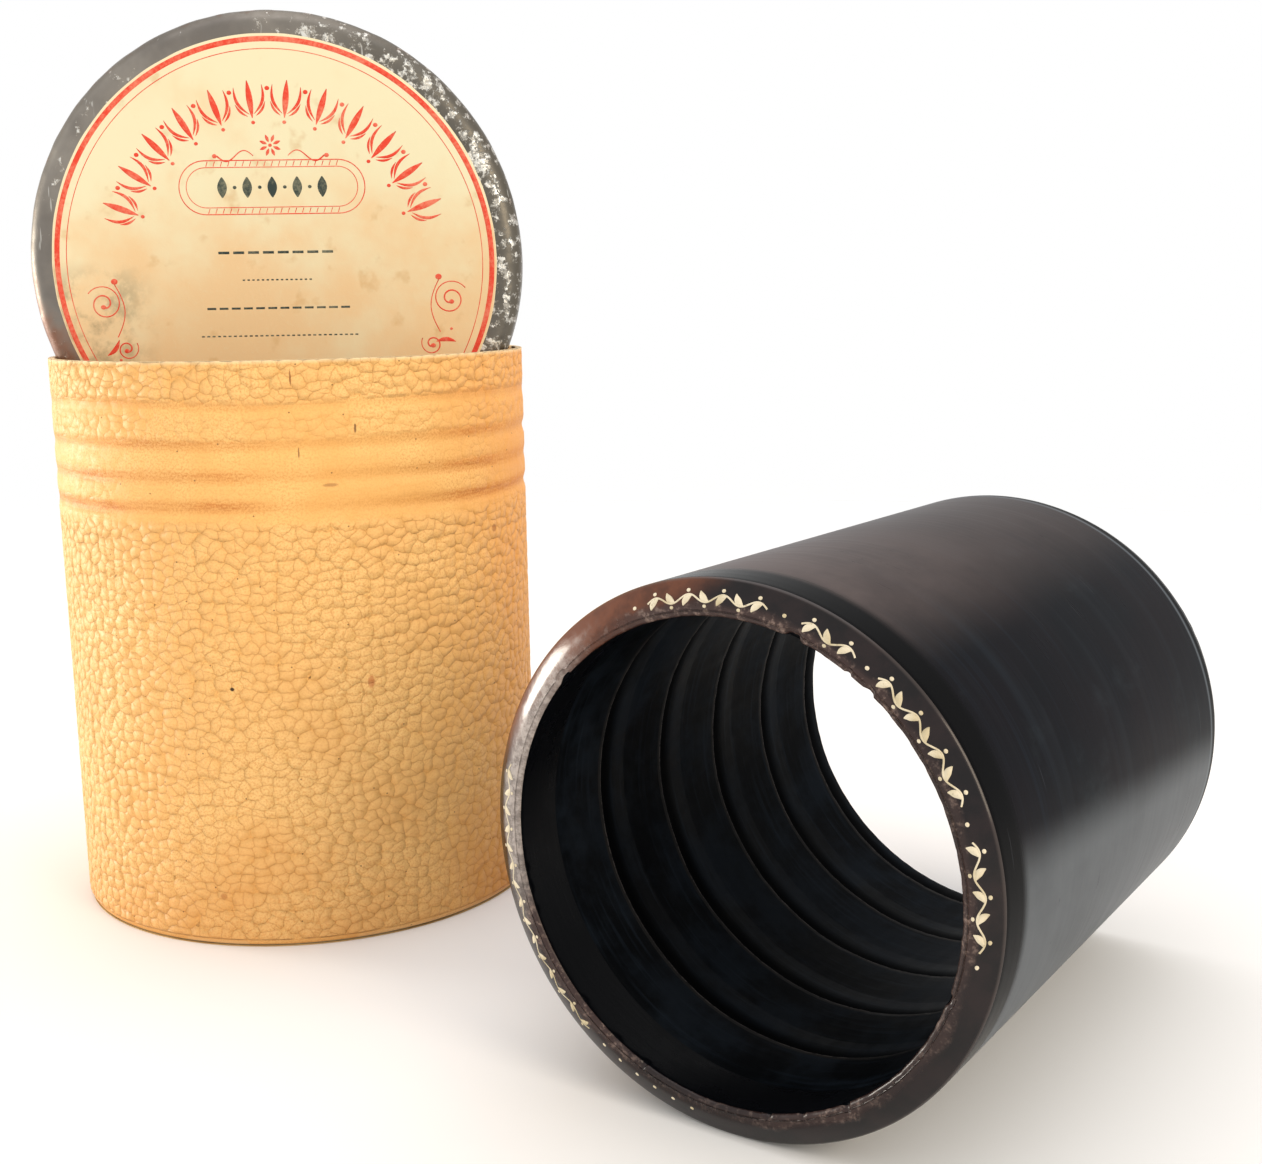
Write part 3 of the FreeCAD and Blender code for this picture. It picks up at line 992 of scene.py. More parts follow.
@dataclass
class Inlay:
    """Thin raised shapes on a surface, gathered into one mesh.

    Attributes:
        place: Puts surface places (across, up, height) into the row frame, all in millimetres.
        rise: How far the shapes stand out of the surface.
        sink: How far they reach into it.
    """

    place: Callable[[np.ndarray], np.ndarray]
    rise: float
    sink: float
    points: list = field(default_factory=list)
    faces: list = field(default_factory=list)

    def stroke(self, line: np.ndarray, width: float | np.ndarray, closed: bool = False) -> None:
        """Adds a stroke along a line.

        Args:
            line: The line's points, as across and up.
            width: Its width, or one width for each point.
            closed: Whether the line runs back to its start.
        """
        line = np.asarray(line, float)
        ahead = np.roll(line, -1, axis=0) - np.roll(line, 1, axis=0)
        if not closed:
            ahead[0], ahead[-1] = line[1] - line[0], line[-1] - line[-2]
        ahead /= np.linalg.norm(ahead, axis=1, keepdims=True)
        side = np.stack([-ahead[:, 1], ahead[:, 0]], axis=1) * np.broadcast_to(width, len(line))[:, None] / 2
        slope = self.rise * 0.7
        section = ((-1.0, -self.sink), (-0.85, slope), (0.0, self.rise), (0.85, slope), (1.0, -self.sink))
        rings = [
            np.column_stack([line + side * across, np.full(len(line), height)])
            for across, height in section
        ]
        first = len(self.points)
        count = len(section)
        self.points += list(np.stack(rings, axis=1).reshape(-1, 3))
        faces = grid_faces(len(line), count, closed, True) + first
        self.faces += faces.tolist()
        if not closed:
            self.faces.append([first + step for step in range(count)])
            self.faces.append([first + (len(line) - 1) * count + step for step in reversed(range(count))])

    def leaf(self, start: Pair, end: Pair, width: float, bend: float = 0.0) -> None:
        """Adds a pointed leaf.

        Args:
            start: Where the leaf starts.
            end: Where its tip lies.
            width: Its greatest width.
            bend: How far it bows to its side, as a share of its length.
        """
        first, last = np.array(start), np.array(end)
        share = np.linspace(0, 1, 9)
        side = np.array([-(last - first)[1], (last - first)[0]])
        bow = np.sin(share * math.pi)
        line = first + share[:, None] * (last - first) + bow[:, None] * bend * side
        self.stroke(line, np.maximum(bow**0.8, 0.12) * width)

    def dot(self, middle: Pair, radius: float) -> None:
        """Adds a round dot, as a short fat stroke.

        Args:
            middle: Where the dot is.
            radius: Its radius.
        """
        share = np.linspace(-0.96, 0.96, 9)
        line = np.column_stack([middle[0] + share * radius, np.full(9, middle[1])])
        self.stroke(line, 2 * radius * np.sqrt(1 - share**2))

    def make(self, name: str) -> Piece:
        """Makes the mesh object."""
        return make_object(name, self.place(np.array(self.points)), self.faces)


@dataclass
class Carton:
    """The round carton: board tube, embossed paper, bottom and soft lining, standing on its base.

    Attributes:
        lap_press: How far the mouth's edge is pressed down under the lap.
        grooves: Each rolled groove's drop below the mouth, its width and its depth.
        rub_lines: Each rubbed line's drop below the mouth, its half width and its strength.
        rolled_top: Between which drops the smooth band begins.
        rolled_foot: Between which drops the smooth band ends.
        pebbly_top: Between which drops the grain comes back inside the smooth band.
        pebbly_foot: Between which drops that grain goes again.
    """

    outer_radius: float = 51.2
    cover_thickness: float = 0.2
    board_thickness: float = 1.0
    lining_thickness: float = 3.0
    height: float = 119.0
    foot_gap: float = 0.5
    foot_round: float = 1.3
    turn_in_depth: float = 10.0
    mouth_round: float = 0.15
    lap: float = 7.0
    lap_press: float = 0.08
    seam_azimuth: float = 128.0
    pebble_depth: float = 0.2
    columns: int = 516
    lining_columns: int = 300
    tube_columns: int = 220
    row_spacing: float = 0.655
    grooves: tuple[Triple, ...] = ((9.0, 4.2, 0.25), (17.2, 4.0, 0.52), (23.4, 4.0, 0.52), (29.4, 4.0, 0.52))
    rub_lines: tuple[Triple, ...] = ((8.2, 1.3, 0.5), (16.0, 1.7, 0.85), (22.4, 2.1, 0.9), (28.5, 2.0, 1.0))
    rolled_top: Pair = (7.2, 8.2)
    rolled_foot: Pair = (31.0, 33.0)
    pebbly_top: Pair = (9.5, 11.0)
    pebbly_foot: Pair = (14.8, 15.8)

    def build(self) -> None:
        """Builds the carton's pieces."""
        self.build_cover()
        self.build_lining()
        self.build_pads()
        self.build_boards()

    @property
    def axes(self) -> Axes:
        """Where the carton stands."""
        return Axes((0.0, 0.0, 0.0), (1.0, 0.0, 0.0), (0.0, 1.0, 0.0))

    def groove_depth(self, radius: np.ndarray, out: np.ndarray, angle: np.ndarray) -> np.ndarray:
        """How far the wall lies inside its plain radius: rolled grooves, uneven in height and depth.

        Args:
            radius: Each point's radius.
            out: Its place along the axis.
            angle: Its angle.

        Returns:
            The depth at each point.
        """
        points = around(radius, angle, 0 * out)
        height = out + ripple(points, 70.0, 11) * 0.14
        depth = np.zeros_like(height)
        for index, (drop, width, deepest) in enumerate(self.grooves):
            away = np.abs(height - (self.height - drop)) / (width / 2)
            uneven = 0.72 + 0.28 * np.clip(ripple(points, 45.0, 12 + index), -1, 1)
            hollow = np.cos(np.clip(away, 0, 1) * math.pi / 2) ** 1.5
            depth += deepest * uneven * np.where(away < 1, hollow, 0)
        return depth

    def cover_outline(self) -> np.ndarray:
        """The cover's section: up the outside, over the mouth, down inside and back beside the board."""
        inner = self.outer_radius - self.cover_thickness
        board_inner = inner - self.board_thickness
        mouth = board_inner - self.cover_thickness
        top = self.height
        foot = self.foot_gap
        spacing = self.row_spacing
        return outline_points(
            [
                Corner(self.outer_radius - self.foot_round * 0.5, foot, 0.0, 0.4),
                Corner(self.outer_radius, foot + self.foot_round, 0.0, spacing),
                Corner(self.outer_radius, top, self.mouth_round, 0.4),
                Corner(mouth, top, self.mouth_round, 1.2),
                Corner(mouth, top - self.turn_in_depth, 0.0, 1.0),
                Corner(board_inner, top - self.turn_in_depth, 0.0, 12.0),
                Corner(board_inner, top - self.cover_thickness, 0.0, 12.0),
                Corner(inner, top - self.cover_thickness, 0.0, 1.1),
                Corner(inner, top - 36.0, 0.0, 40.0),
                Corner(inner, foot + self.foot_round, 0.0, 1.0),
                Corner(inner - self.foot_round * 0.5, foot, 0.0, 1.0),
            ]
        )

    def build_cover(self) -> None:
        """Builds the paper as one sheet that laps over itself at the back, and presses its grain."""
        outline = self.cover_outline()
        whole = 2 * math.pi + self.lap / self.outer_radius
        angles = math.radians(self.seam_azimuth) - 2 * math.pi + np.linspace(0, whole, self.columns)
        radius, out, angle = np.broadcast_arrays(outline[:, :1], outline[:, 1:2], angles[None, :])
        travel = np.concatenate([[0], np.cumsum(np.linalg.norm(np.diff(outline, axis=0), axis=1))])
        above = np.broadcast_to((travel + self.foot_gap)[:, None], angle.shape)
        sheet = np.stack([angle * self.outer_radius, above, 0 * angle], axis=-1)
        outside = radius > self.outer_radius - self.cover_thickness / 2
        wall = radius > self.outer_radius - self.cover_thickness * 1.5
        plain = around(radius, angle, out)
        depth = self.groove_depth(radius, out, angle)
        lapped = eased(angle, angles[0] + 2 * math.pi - 0.02, angles[0] + 2 * math.pi + 0.005)
        radius = radius - np.where(wall, depth, 0) + lapped * self.cover_thickness * 1.05
        lap_end = angles[0] + self.lap / self.outer_radius
        under = 1 - eased(angle, lap_end, lap_end + 0.02)
        pressed = under * eased(out, self.height - 1.0, self.height) * self.lap_press
        local = around(radius, angle, out - pressed)
        rows, columns = radius.shape
        faces = grid_faces(rows, columns, True, False).tolist()
        faces.append([row * columns for row in range(rows)])
        faces.append([row * columns + columns - 1 for row in reversed(range(rows))])
        cover = make_object("cover_paper_sheet", local.reshape(-1, 3), faces)
        self.mark_cover(cover, sheet, plain, depth, outside)
        grain = PebbleGrain()
        grain.emboss(cover, self.pebble_depth)
        paper = PebblePaper(grain, self.stains(), self.outer_radius, self.height)
        dress(cover, Body.CARTON, [paper.material()], ("cover_paper",))

    def mark_cover(
        self, cover: Piece, sheet: np.ndarray, plain: np.ndarray, depth: np.ndarray, outside: np.ndarray
    ) -> None:
        """Stores where the paper is smooth, stained and worn pale, and its flat map.

        Args:
            cover: The mesh object.
            sheet: Each point's place on the flat sheet.
            plain: Each point's place on the plain cylinder.
            depth: How deep each point lies in a rolled groove.
            outside: Which points are on the sheet's outer face.
        """
        drop = self.height - plain[..., 2] + ripple(plain, 45.0, 5) * 0.25
        patch = ripple(plain, 26.0, 7)
        rolled = eased(drop, *self.rolled_top) * (1 - eased(drop, *self.rolled_foot))
        pebbly = eased(drop, *self.pebbly_top) * (1 - eased(drop, *self.pebbly_foot))
        rubbed = rolled * (0.88 - 0.4 * pebbly - 0.25 * eased(patch, -0.2, 1.4))
        rubbed = np.maximum(rubbed, 0.92 * eased(depth, 0.06, 0.3))
        rubbed = np.maximum(rubbed, 1 - outside)
        stained = np.zeros_like(drop)
        for at, half, strength in self.rub_lines:
            stained = np.maximum(stained, (1 - eased(np.abs(drop - at), 0.2, half)) * strength)
        round_place = np.degrees(sheet[..., 0] / self.outer_radius)
        faded = 1 - 0.7 * eased(round_place, -64.0, -44.0) * (1 - eased(round_place, -30.0, -5.0))
        stained *= (0.8 + 0.2 * np.clip(patch, -1, 1)) * faded
        worn = eased(plain[..., 2], self.height - 0.35, self.height - 0.05)
        at_foot = 1 - eased(plain[..., 2], self.foot_gap, self.foot_gap + 1.2)
        worn = np.maximum(worn, 0.35 * at_foot * (patch > 0))
        for name, values in (("rubbed", rubbed), ("stained", stained), ("worn", worn)):
            store(cover, name, np.clip(values, 0, 1))
        store(cover, "sheet", sheet)

    def stains(self) -> tuple[Stain, ...]:
        """The larger marks on the side that the photo shows."""
        return (
            Stain(-44.5, 3.2, 0.22, 1.9, "8A4A1C", 0.75),
            Stain(-61.0, 64.5, 0.55, 0.45, "2E1A0C", 0.95),
            Stain(-30.0, 64.5, 0.9, 1.5, "B5561F", 0.6),
            Stain(-31.0, 13.4, 0.3, 1.1, "5E3A1E", 0.8),
            Stain(-43.5, 17.8, 0.2, 1.3, "6E4420", 0.7),
            Stain(-37.0, 24.3, 1.9, 0.4, "7A4A22", 0.5),
            Stain(8.0, 37.0, 1.1, 1.0, "A9641C", 0.7),
            Stain(-66.0, 108.0, 0.9, 0.8, "A4571F", 0.5),
        )

    def build_lining(self) -> None:
        """Builds the soft lining, with a fluffed inner face and an uneven rounded top."""
        low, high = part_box("cotton_lining")
        bottom, top = low.z / METRES, high.z / METRES
        outer = high.x / METRES
        inner = outer - self.lining_thickness
        corners = [
            Corner(inner, bottom, 0.5, 2.4),
            Corner(inner, top, 1.2, 0.8),
            Corner(outer, top, 0.8, 20.0),
            Corner(outer, bottom, 0.2, 0.8),
        ]

        def fluff(radius: np.ndarray, out: np.ndarray, angle: np.ndarray) -> Worn:
            """Swells and dents the lining inside its own space.

            Args:
                radius: Each point's radius.
                out: Its place along the axis.
                angle: Its angle.

            Returns:
                The new radii and places along the axis.
            """
            points = around(radius, angle, out)
            tufts = 0.5 + 0.35 * ripple(points, 9.0, 21) + 0.2 * ripple(points, 3.5, 22)
            inside = eased(radius, outer - 0.4, outer - 1.2)
            sag = eased(out, top - 3.0, top) * (0.6 + 0.45 * ripple(points, 24.0, 23))
            return radius + inside * np.clip(tufts, 0, 1.3) * 0.7, out - np.clip(sag, 0, 1.6) * inside

        angles = full_turn(self.lining_columns)
        lining = turned_object("soft_lining", self.axes, outline_points(corners), angles, fluff)
        dress(lining, Body.CARTON, [SoftCotton("lining_cotton").material()], ("cotton_lining",))

    def build_pads(self) -> None:
        """Builds the soft pad that the record stands on inside the carton."""
        low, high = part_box("base_pad")
        radius = high.x / METRES - 0.1
        pad = soft_disc("soft_base_pad", self.axes, radius, low.z / METRES, high.z / METRES, 31)
        dress(pad, Body.CARTON, [SoftCotton("pad_cotton").material()], ("base_pad",))

    def build_boards(self) -> None:
        """Builds the wound tube with its worn foot, and finishes the bottom disc and the bottom paper."""
        board = PlainBoard("carton_board", "B39D78", "8F7B5A").material()
        paper = PlainBoard("plain_paper", "C9A66E", "B18B55").material()
        outer = self.outer_radius - self.cover_thickness
        inner = outer - self.board_thickness
        low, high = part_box("board_tube")
        bottom, top = low.z / METRES, high.z / METRES
        corners = [
            Corner(outer - self.foot_round * 0.5, bottom, 0.0, 0.4),
            Corner(outer, self.foot_gap + self.foot_round, 0.0, 5.0),
            Corner(outer, top - 34.0, 0.0, 0.8),
            Corner(outer, top, 0.0, 1.0),
            Corner(inner, top, 0.0, 12.0),
            Corner(inner, bottom, 0.0, 1.0),
        ]

        def roll(radius: np.ndarray, out: np.ndarray, angle: np.ndarray) -> Worn:
            """Presses the rolled grooves into the outer face, a little deeper than the paper goes."""
            outside = eased(radius, inner + 0.3, outer)
            return radius - outside * (self.groove_depth(radius, out, angle) + 0.02), out

        angles = full_turn(self.tube_columns)
        tube = turned_object("wound_tube", self.axes, outline_points(corners), angles, roll)
        dress(tube, Body.CARTON, [board], ("board_tube",))
        for name, material in (("base_disc", board), ("base_paper", paper)):
            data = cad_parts[name].data
            data.materials.clear()
            data.materials.append(material)


def soft_disc(name: str, axes: Axes, radius: float, bottom: float, top: float, seed: int) -> Piece:
    """A thin soft pad: crowned, dimpled and round at its edge.

    Args:
        name: The object's name.
        axes: Where it stands.
        radius: Its radius.
        bottom: Its lower face, along the axis.
        top: Its upper face.
        seed: Picks its dimples.

    Returns:
        The new object.
    """
    thick = top - bottom
    corners = [
        Corner(0.0, bottom, 0.0, 3.0),
        Corner(radius, bottom, thick * 0.3, 0.6),
        Corner(radius, top, thick * 0.6, 1.3),
        Corner(0.0, top, 0.0, 1.0),
    ]

    def dimple(reach: np.ndarray, out: np.ndarray, angle: np.ndarray) -> Worn:
        """Lowers the upper face here and there, and draws in the edge.

        Args:
            reach: Each point's radius.
            out: Its place along the axis.
            angle: Its angle.

        Returns:
            The new radii and places along the axis.
        """
        points = around(reach, angle, out)
        upper = eased(out, bottom + thick * 0.5, top)
        crown = eased(reach, radius * 0.55, radius) * 0.35
        tufts = 0.3 + 0.25 * ripple(points, 11.0, seed) + 0.15 * ripple(points, 4.0, seed + 1)
        tufts = np.clip(tufts, 0, 0.7)
        edge = eased(reach, radius * 0.9, radius)
        drawn = edge * np.clip(0.4 + 0.4 * ripple(points, 15.0, seed + 2), 0, 1) * 0.6
        return reach - drawn, out - upper * thick * np.minimum(crown + tufts * 0.6, 0.8)

    return turned_object(name, axes, outline_points(corners, closed=False), full_turn(220), dimple)


@dataclass(frozen=True)
class DashRow:
    """A printed row of dashes: its level, its length, its weight, and how long a dash and a gap are."""

    level: float
    length: float
    weight: float
    dash: float
    gap: float


@dataclass
class Lid:
    """The tinplate lid with its printed label and soft pad, standing on edge in the carton's mouth.

    Attributes:
        facing: The azimuth that its face looks to, in degrees.
        sprays: How many leaf sprays the upper arc has.
        sprigs: How many small leaves the lower arc has.
        lozenges: How many lozenges the plate has.
        ticks: How many ticks stand in each row along the plate.
        petals: How many petals the rosette has.
        plate_height: How far the plate's middle lies above the label's.
        rosette_height: How far the rosette's middle lies above the label's.
    """

    facing: float = -52.2
    depth: float = 25.0
    shoulder: float = 4.0
    metal: float = 0.3
    hem_length: float = 3.0
    hem_thickness: float = 0.6
    label_margin: float = 1.3
    label_thickness: float = 0.2
    ring_radius: float = 45.45
    ring_width: float = 1.25
    line_radius: float = 43.5
    line_width: float = 0.2
    columns: int = 540
    label_columns: int = 360
    ring_columns: int = 240
    sprays: int = 12
    sprigs: int = 15
    lozenges: int = 5
    ticks: int = 19
    petals: int = 8
    plate_height: float = 15.6
    rosette_height: float = 24.1

    def build(self) -> None:
        """Builds the lid's pieces."""
        self.build_shell()
        self.build_label()
        self.build_print()
        self.build_pad()

    @property
    def radius(self) -> float:
        """The lid's outer radius, from its height on edge."""
        low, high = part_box("lid_shell")
        return (high.z - low.z) / 2 / METRES

    @property
    def label_radius(self) -> float:
        """The label's radius."""
        return self.radius - self.shoulder - self.label_margin

    @property
    def axes(self) -> Axes:
        """Where the lid stands: the middle of its flat face, seen from the front."""
        low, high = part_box("lid_shell")
        angle = math.radians(self.facing)
        facing = np.array((math.cos(angle), math.sin(angle), 0.0))
        middle = facing * (self.depth + self.shoulder) / 2
        middle[2] = (low.z + high.z) / 2 / METRES
        right = np.cross((0.0, 0.0, 1.0), facing)
        return Axes(tuple(middle), tuple(right), (0.0, 0.0, 1.0))

    def build_shell(self) -> None:
        """Builds the pan, with shallow dents in its shoulder and skirt."""
        inside = self.radius - self.metal
        hem = self.radius - self.hem_thickness
        flat = self.radius - self.shoulder
        corners = [
            Corner(0.0, 0.0, 0.0, 9.0),
            Corner(flat - 2.0, 0.0, 0.0, 0.7),
            Corner(self.radius, 0.0, self.shoulder, 1.2),
            Corner(self.radius, -self.depth, self.metal * 0.95, 0.4),
            Corner(hem, -self.depth, self.metal * 0.95, 1.0),
            Corner(hem, self.hem_length - self.depth, 0.1, 0.2),
            Corner(inside, self.hem_length - self.depth, 0.0, 1.4),
            Corner(inside, -self.metal, self.shoulder - self.metal, 6.0),
            Corner(0.0, -self.metal, 0.0, 0.3),
        ]

        def dent(radius: np.ndarray, out: np.ndarray, angle: np.ndarray) -> Worn:
            """Presses shallow dents into the shoulder and the skirt, with the metal's thickness kept.

            Args:
                radius: Each point's radius.
                out: Its place along the axis.
                angle: Its angle.

            Returns:
                The new radii and places along the axis.
            """
            round_place = around(self.radius, angle, 0.6 * out)
            broad = 0.5 + 0.5 * np.clip(ripple(round_place, 26.0, 41), -1, 1)
            small = 0.5 + 0.5 * np.clip(ripple(round_place, 6.0, 42), -1, 1)
            outer = eased(radius, flat, flat + 2.5) * (1 - eased(out, -self.depth + 4, -self.depth + 1))
            press = outer * (0.10 * broad + 0.07 * small)
            over = eased(radius, self.label_radius, self.label_radius + 2.0) * eased(out, -self.shoulder, 0.0)
            return radius - press, out - over * 0.10 * small

        outline = outline_points(corners, closed=False)
        shell = turned_object("lid_pan", self.axes, outline, full_turn(self.columns), dent)
        tin = DulledTin(self.radius).material()
        dress(shell, Body.LID, [tin], ("lid_shell",))

    def build_label(self) -> None:
        """Builds the label paper, with a slightly uneven cut edge."""
        corners = [
            Corner(0.0, 0.0, 0.0, 9.0),
            Corner(self.label_radius, 0.0, 0.0, 0.1),
            Corner(self.label_radius, self.label_thickness * 0.9, 0.05, 0.6),
            Corner(0.0, self.label_thickness * 0.9, 0.0, 0.2),
        ]

        def fray(radius: np.ndarray, out: np.ndarray, angle: np.ndarray) -> Worn:
            """Draws the cut edge in a little here and there.

            Args:
                radius: Each point's radius.
                out: Its place along the axis.
                angle: Its angle.

            Returns:
                The new radii and places along the axis.
            """
            points = around(radius, angle, out)
            edge = eased(radius, self.label_radius - 0.5, self.label_radius)
            uneven = 0.06 + 0.05 * np.clip(ripple(points, 8.0, 51), -1, 1)
            return radius - edge * uneven, out

        outline = outline_points(corners, closed=False)
        label = turned_object("label_sheet", self.axes, outline, full_turn(self.label_columns), fray)
        dress(label, Body.LID, [AgedLabel(self.label_radius).material()], ("lid_label",))

    def on_face(self, places: np.ndarray) -> np.ndarray:
        """Puts places on the label's face into the row frame."""
        return self.axes.place(places + np.array((0.0, 0.0, self.label_thickness * 0.9)))

    def build_print(self) -> None:
        """Builds the printed ornament: red rings, leaves, scrolls and a plate, and dark rows of dashes."""
        red = Inlay(self.on_face, 0.014, 0.05)
        dark = Inlay(self.on_face, 0.014, 0.05)
        self.print_rings(red)
        self.print_garland(red)
        self.print_scrolls(red)
        self.print_plate(red, dark)
        self.print_rows(dark)
        red_ink = PrintedInk("red_ink", "E0442F", "EB9C7C", 0.55).material()
        dark_ink = PrintedInk("dark_ink", "34403C", "8F8D74", 0.6).material()
        dress(red.make("label_print_red"), Body.LID, [red_ink])
        dress(dark.make("label_print_dark"), Body.LID, [dark_ink])

    def print_rings(self, ink: Inlay) -> None:
        """Adds the broad ring and the thin line inside it.

        Args:
            ink: The ink that they are printed with.
        """
        turn = full_turn(self.ring_columns)
        circle = np.column_stack([np.cos(turn), np.sin(turn)])
        ink.stroke(circle * self.ring_radius, self.ring_width, closed=True)
        ink.stroke(circle * self.line_radius, self.line_width, closed=True)

    def polar(self, radius: float, angle: float) -> Pair:
        """A place on the face from its radius and its angle in degrees."""
        return radius * math.cos(math.radians(angle)), radius * math.sin(math.radians(angle))

    def print_garland(self, ink: Inlay) -> None:
        """Adds leaf sprays along the upper arc and smaller leaves along the lower one.

        Args:
            ink: The ink that it is printed with.
        """
        for index in range(self.sprays):
            angle = 160.0 - 140.0 * index / (self.sprays - 1)
            ink.leaf(self.polar(29.8, angle), self.polar(37.4, angle), 1.5)
            for side in (-1, 1):
                tip = self.polar(36.4, angle + side * 4.6)
                ink.leaf(self.polar(30.6, angle + side * 0.9), tip, 0.75, side * 0.16)
                near, far = self.polar(30.2, angle + side * 1.6), self.polar(33.0, angle + side * 5.4)
                ink.leaf(near, far, 0.6, side * 0.1)
            ink.dot(self.polar(28.9, angle), 0.42)
            if index < self.sprays - 1:
                between = angle - 70.0 / (self.sprays - 1)
                ink.dot(self.polar(35.6, between), 0.5)
        for index in range(self.sprigs):
            angle = 206.0 + 128.0 * index / (self.sprigs - 1)
            ink.leaf(self.polar(37.2, angle - 1.3), self.polar(41.0, angle + 1.3), 1.1, 0.12)
            ink.dot(self.polar(39.1, angle + 4.4), 0.32)

    def print_scrolls(self, ink: Inlay) -> None:
        """Adds a pair of spiral scrolls at each side, below the middle.

        Args:
            ink: The ink that they are printed with.
        """
        for side in (-1, 1):
            for centre, size, turns, start in (((36.4, -8.0), 3.9, 1.7, 0.6), ((32.2, -17.5), 2.4, 1.4, 2.6)):
                share = np.linspace(0, 1, 44)
                angle = start + share * turns * 2 * math.pi
                reach = size * (1 - 0.82 * share)
                across = side * (centre[0] + reach * np.cos(angle))
                spiral = np.column_stack([across, centre[1] + reach * np.sin(angle)])
                ink.stroke(spiral, 0.24 + 0.2 * share)
                ink.dot((float(spiral[-1, 0]), float(spiral[-1, 1])), 0.55)
            stem = np.linspace(0, 1, 16)
            across = side * (34.0 - 1.8 * np.sin(stem * math.pi))
            ink.stroke(np.column_stack([across, -4.0 - 11.0 * stem]), 0.24)
            ink.dot((side * 34.0, -3.4), 0.7)

    def print_plate(self, red: Inlay, dark: Inlay) -> None:
        """Adds the plate above the middle: a double round-ended frame, lozenges and a rosette.

        Args:
            red: The red ink.
            dark: The dark ink.
        """
        middle = self.plate_height
        for half_width, half_height, width in ((19.3, 5.5, 0.26), (17.8, 4.1, 0.2)):
            flat = half_width - half_height
            right = np.linspace(-math.pi / 2, math.pi / 2, 24)
            ends = [(flat + half_height * math.cos(a), middle + half_height * math.sin(a)) for a in right]
            ends += [(-flat - half_height * math.cos(a), middle - half_height * math.sin(a)) for a in right]
            red.stroke(np.array(ends), width, closed=True)
        for index in range(self.ticks):
            across = -13.5 + 1.5 * index
            for level in (-4.8, 4.8):
                tick = ((across, middle + level - 0.5), (across + 0.35, middle + level + 0.5))
                red.stroke(np.array(tick), 0.2)
        for index in range(self.lozenges):
            across = -10.4 + 5.2 * index
            dark.leaf((across, middle - 2.1), (across, middle + 2.1), 2.3)
            if index < self.lozenges - 1:
                dark.dot((across + 2.6, middle), 0.4)
        for index in range(self.petals):
            turn = math.radians(45 * index + 22.5)
            near = (0.7 * math.cos(turn), self.rosette_height + 0.7 * math.sin(turn))
            far = (2.3 * math.cos(turn), self.rosette_height + 2.3 * math.sin(turn))
            red.leaf(near, far, 0.75)
        red.dot((0.0, self.rosette_height), 0.4)
        for side in (-1, 1):
            share = np.linspace(0, 1, 20)
            wave = np.column_stack([side * (3.6 + 7.5 * share), 22.0 + 1.1 * np.sin(share * 2 * math.pi)])
            red.stroke(wave, 0.2 + 0.2 * share)
            red.dot((side * 11.6, 22.0), 0.5)

    def print_rows(self, ink: Inlay) -> None:
        """Adds rules of dashes and dots where printed lines stand.

        Args:
            ink: The ink that they are printed with.
        """
        rows = (
            DashRow(2.2, 24.0, 0.62, 2.3, 0.8),
            DashRow(-3.5, 14.5, 0.34, 0.5, 0.5),
            DashRow(-9.4, 30.0, 0.5, 1.9, 0.7),
            DashRow(-15.2, 33.0, 0.34, 0.6, 0.5),
            DashRow(-21.0, 20.0, 0.34, 0.5, 0.5),
            DashRow(-26.5, 12.0, 0.34, 0.5, 0.5),
        )
        for row in rows:
            count = round((row.length + row.gap) / (row.dash + row.gap))
            step = (row.length + row.gap) / count
            for index in range(count):
                start = -row.length / 2 + index * step
                line = np.array([(start, row.level), (start + step - row.gap, row.level)])
                ink.stroke(line, row.weight)

    def build_pad(self) -> None:
        """Builds the soft pad inside the lid."""
        low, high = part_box("lid_pad")
        radius = (high.z - low.z) / 2 / METRES - 0.1
        axes = self.axes
        back = Axes(axes.middle, tuple(-np.array(axes.right)), axes.up)
        pad = soft_disc("soft_lid_pad", back, radius, self.metal + 0.02, self.metal + 1.2, 61)
        cotton = SoftCotton("lid_pad_cotton", "D8CDB4", "C6B99A").material()
        dress(pad, Body.LID, [cotton], ("lid_pad",))


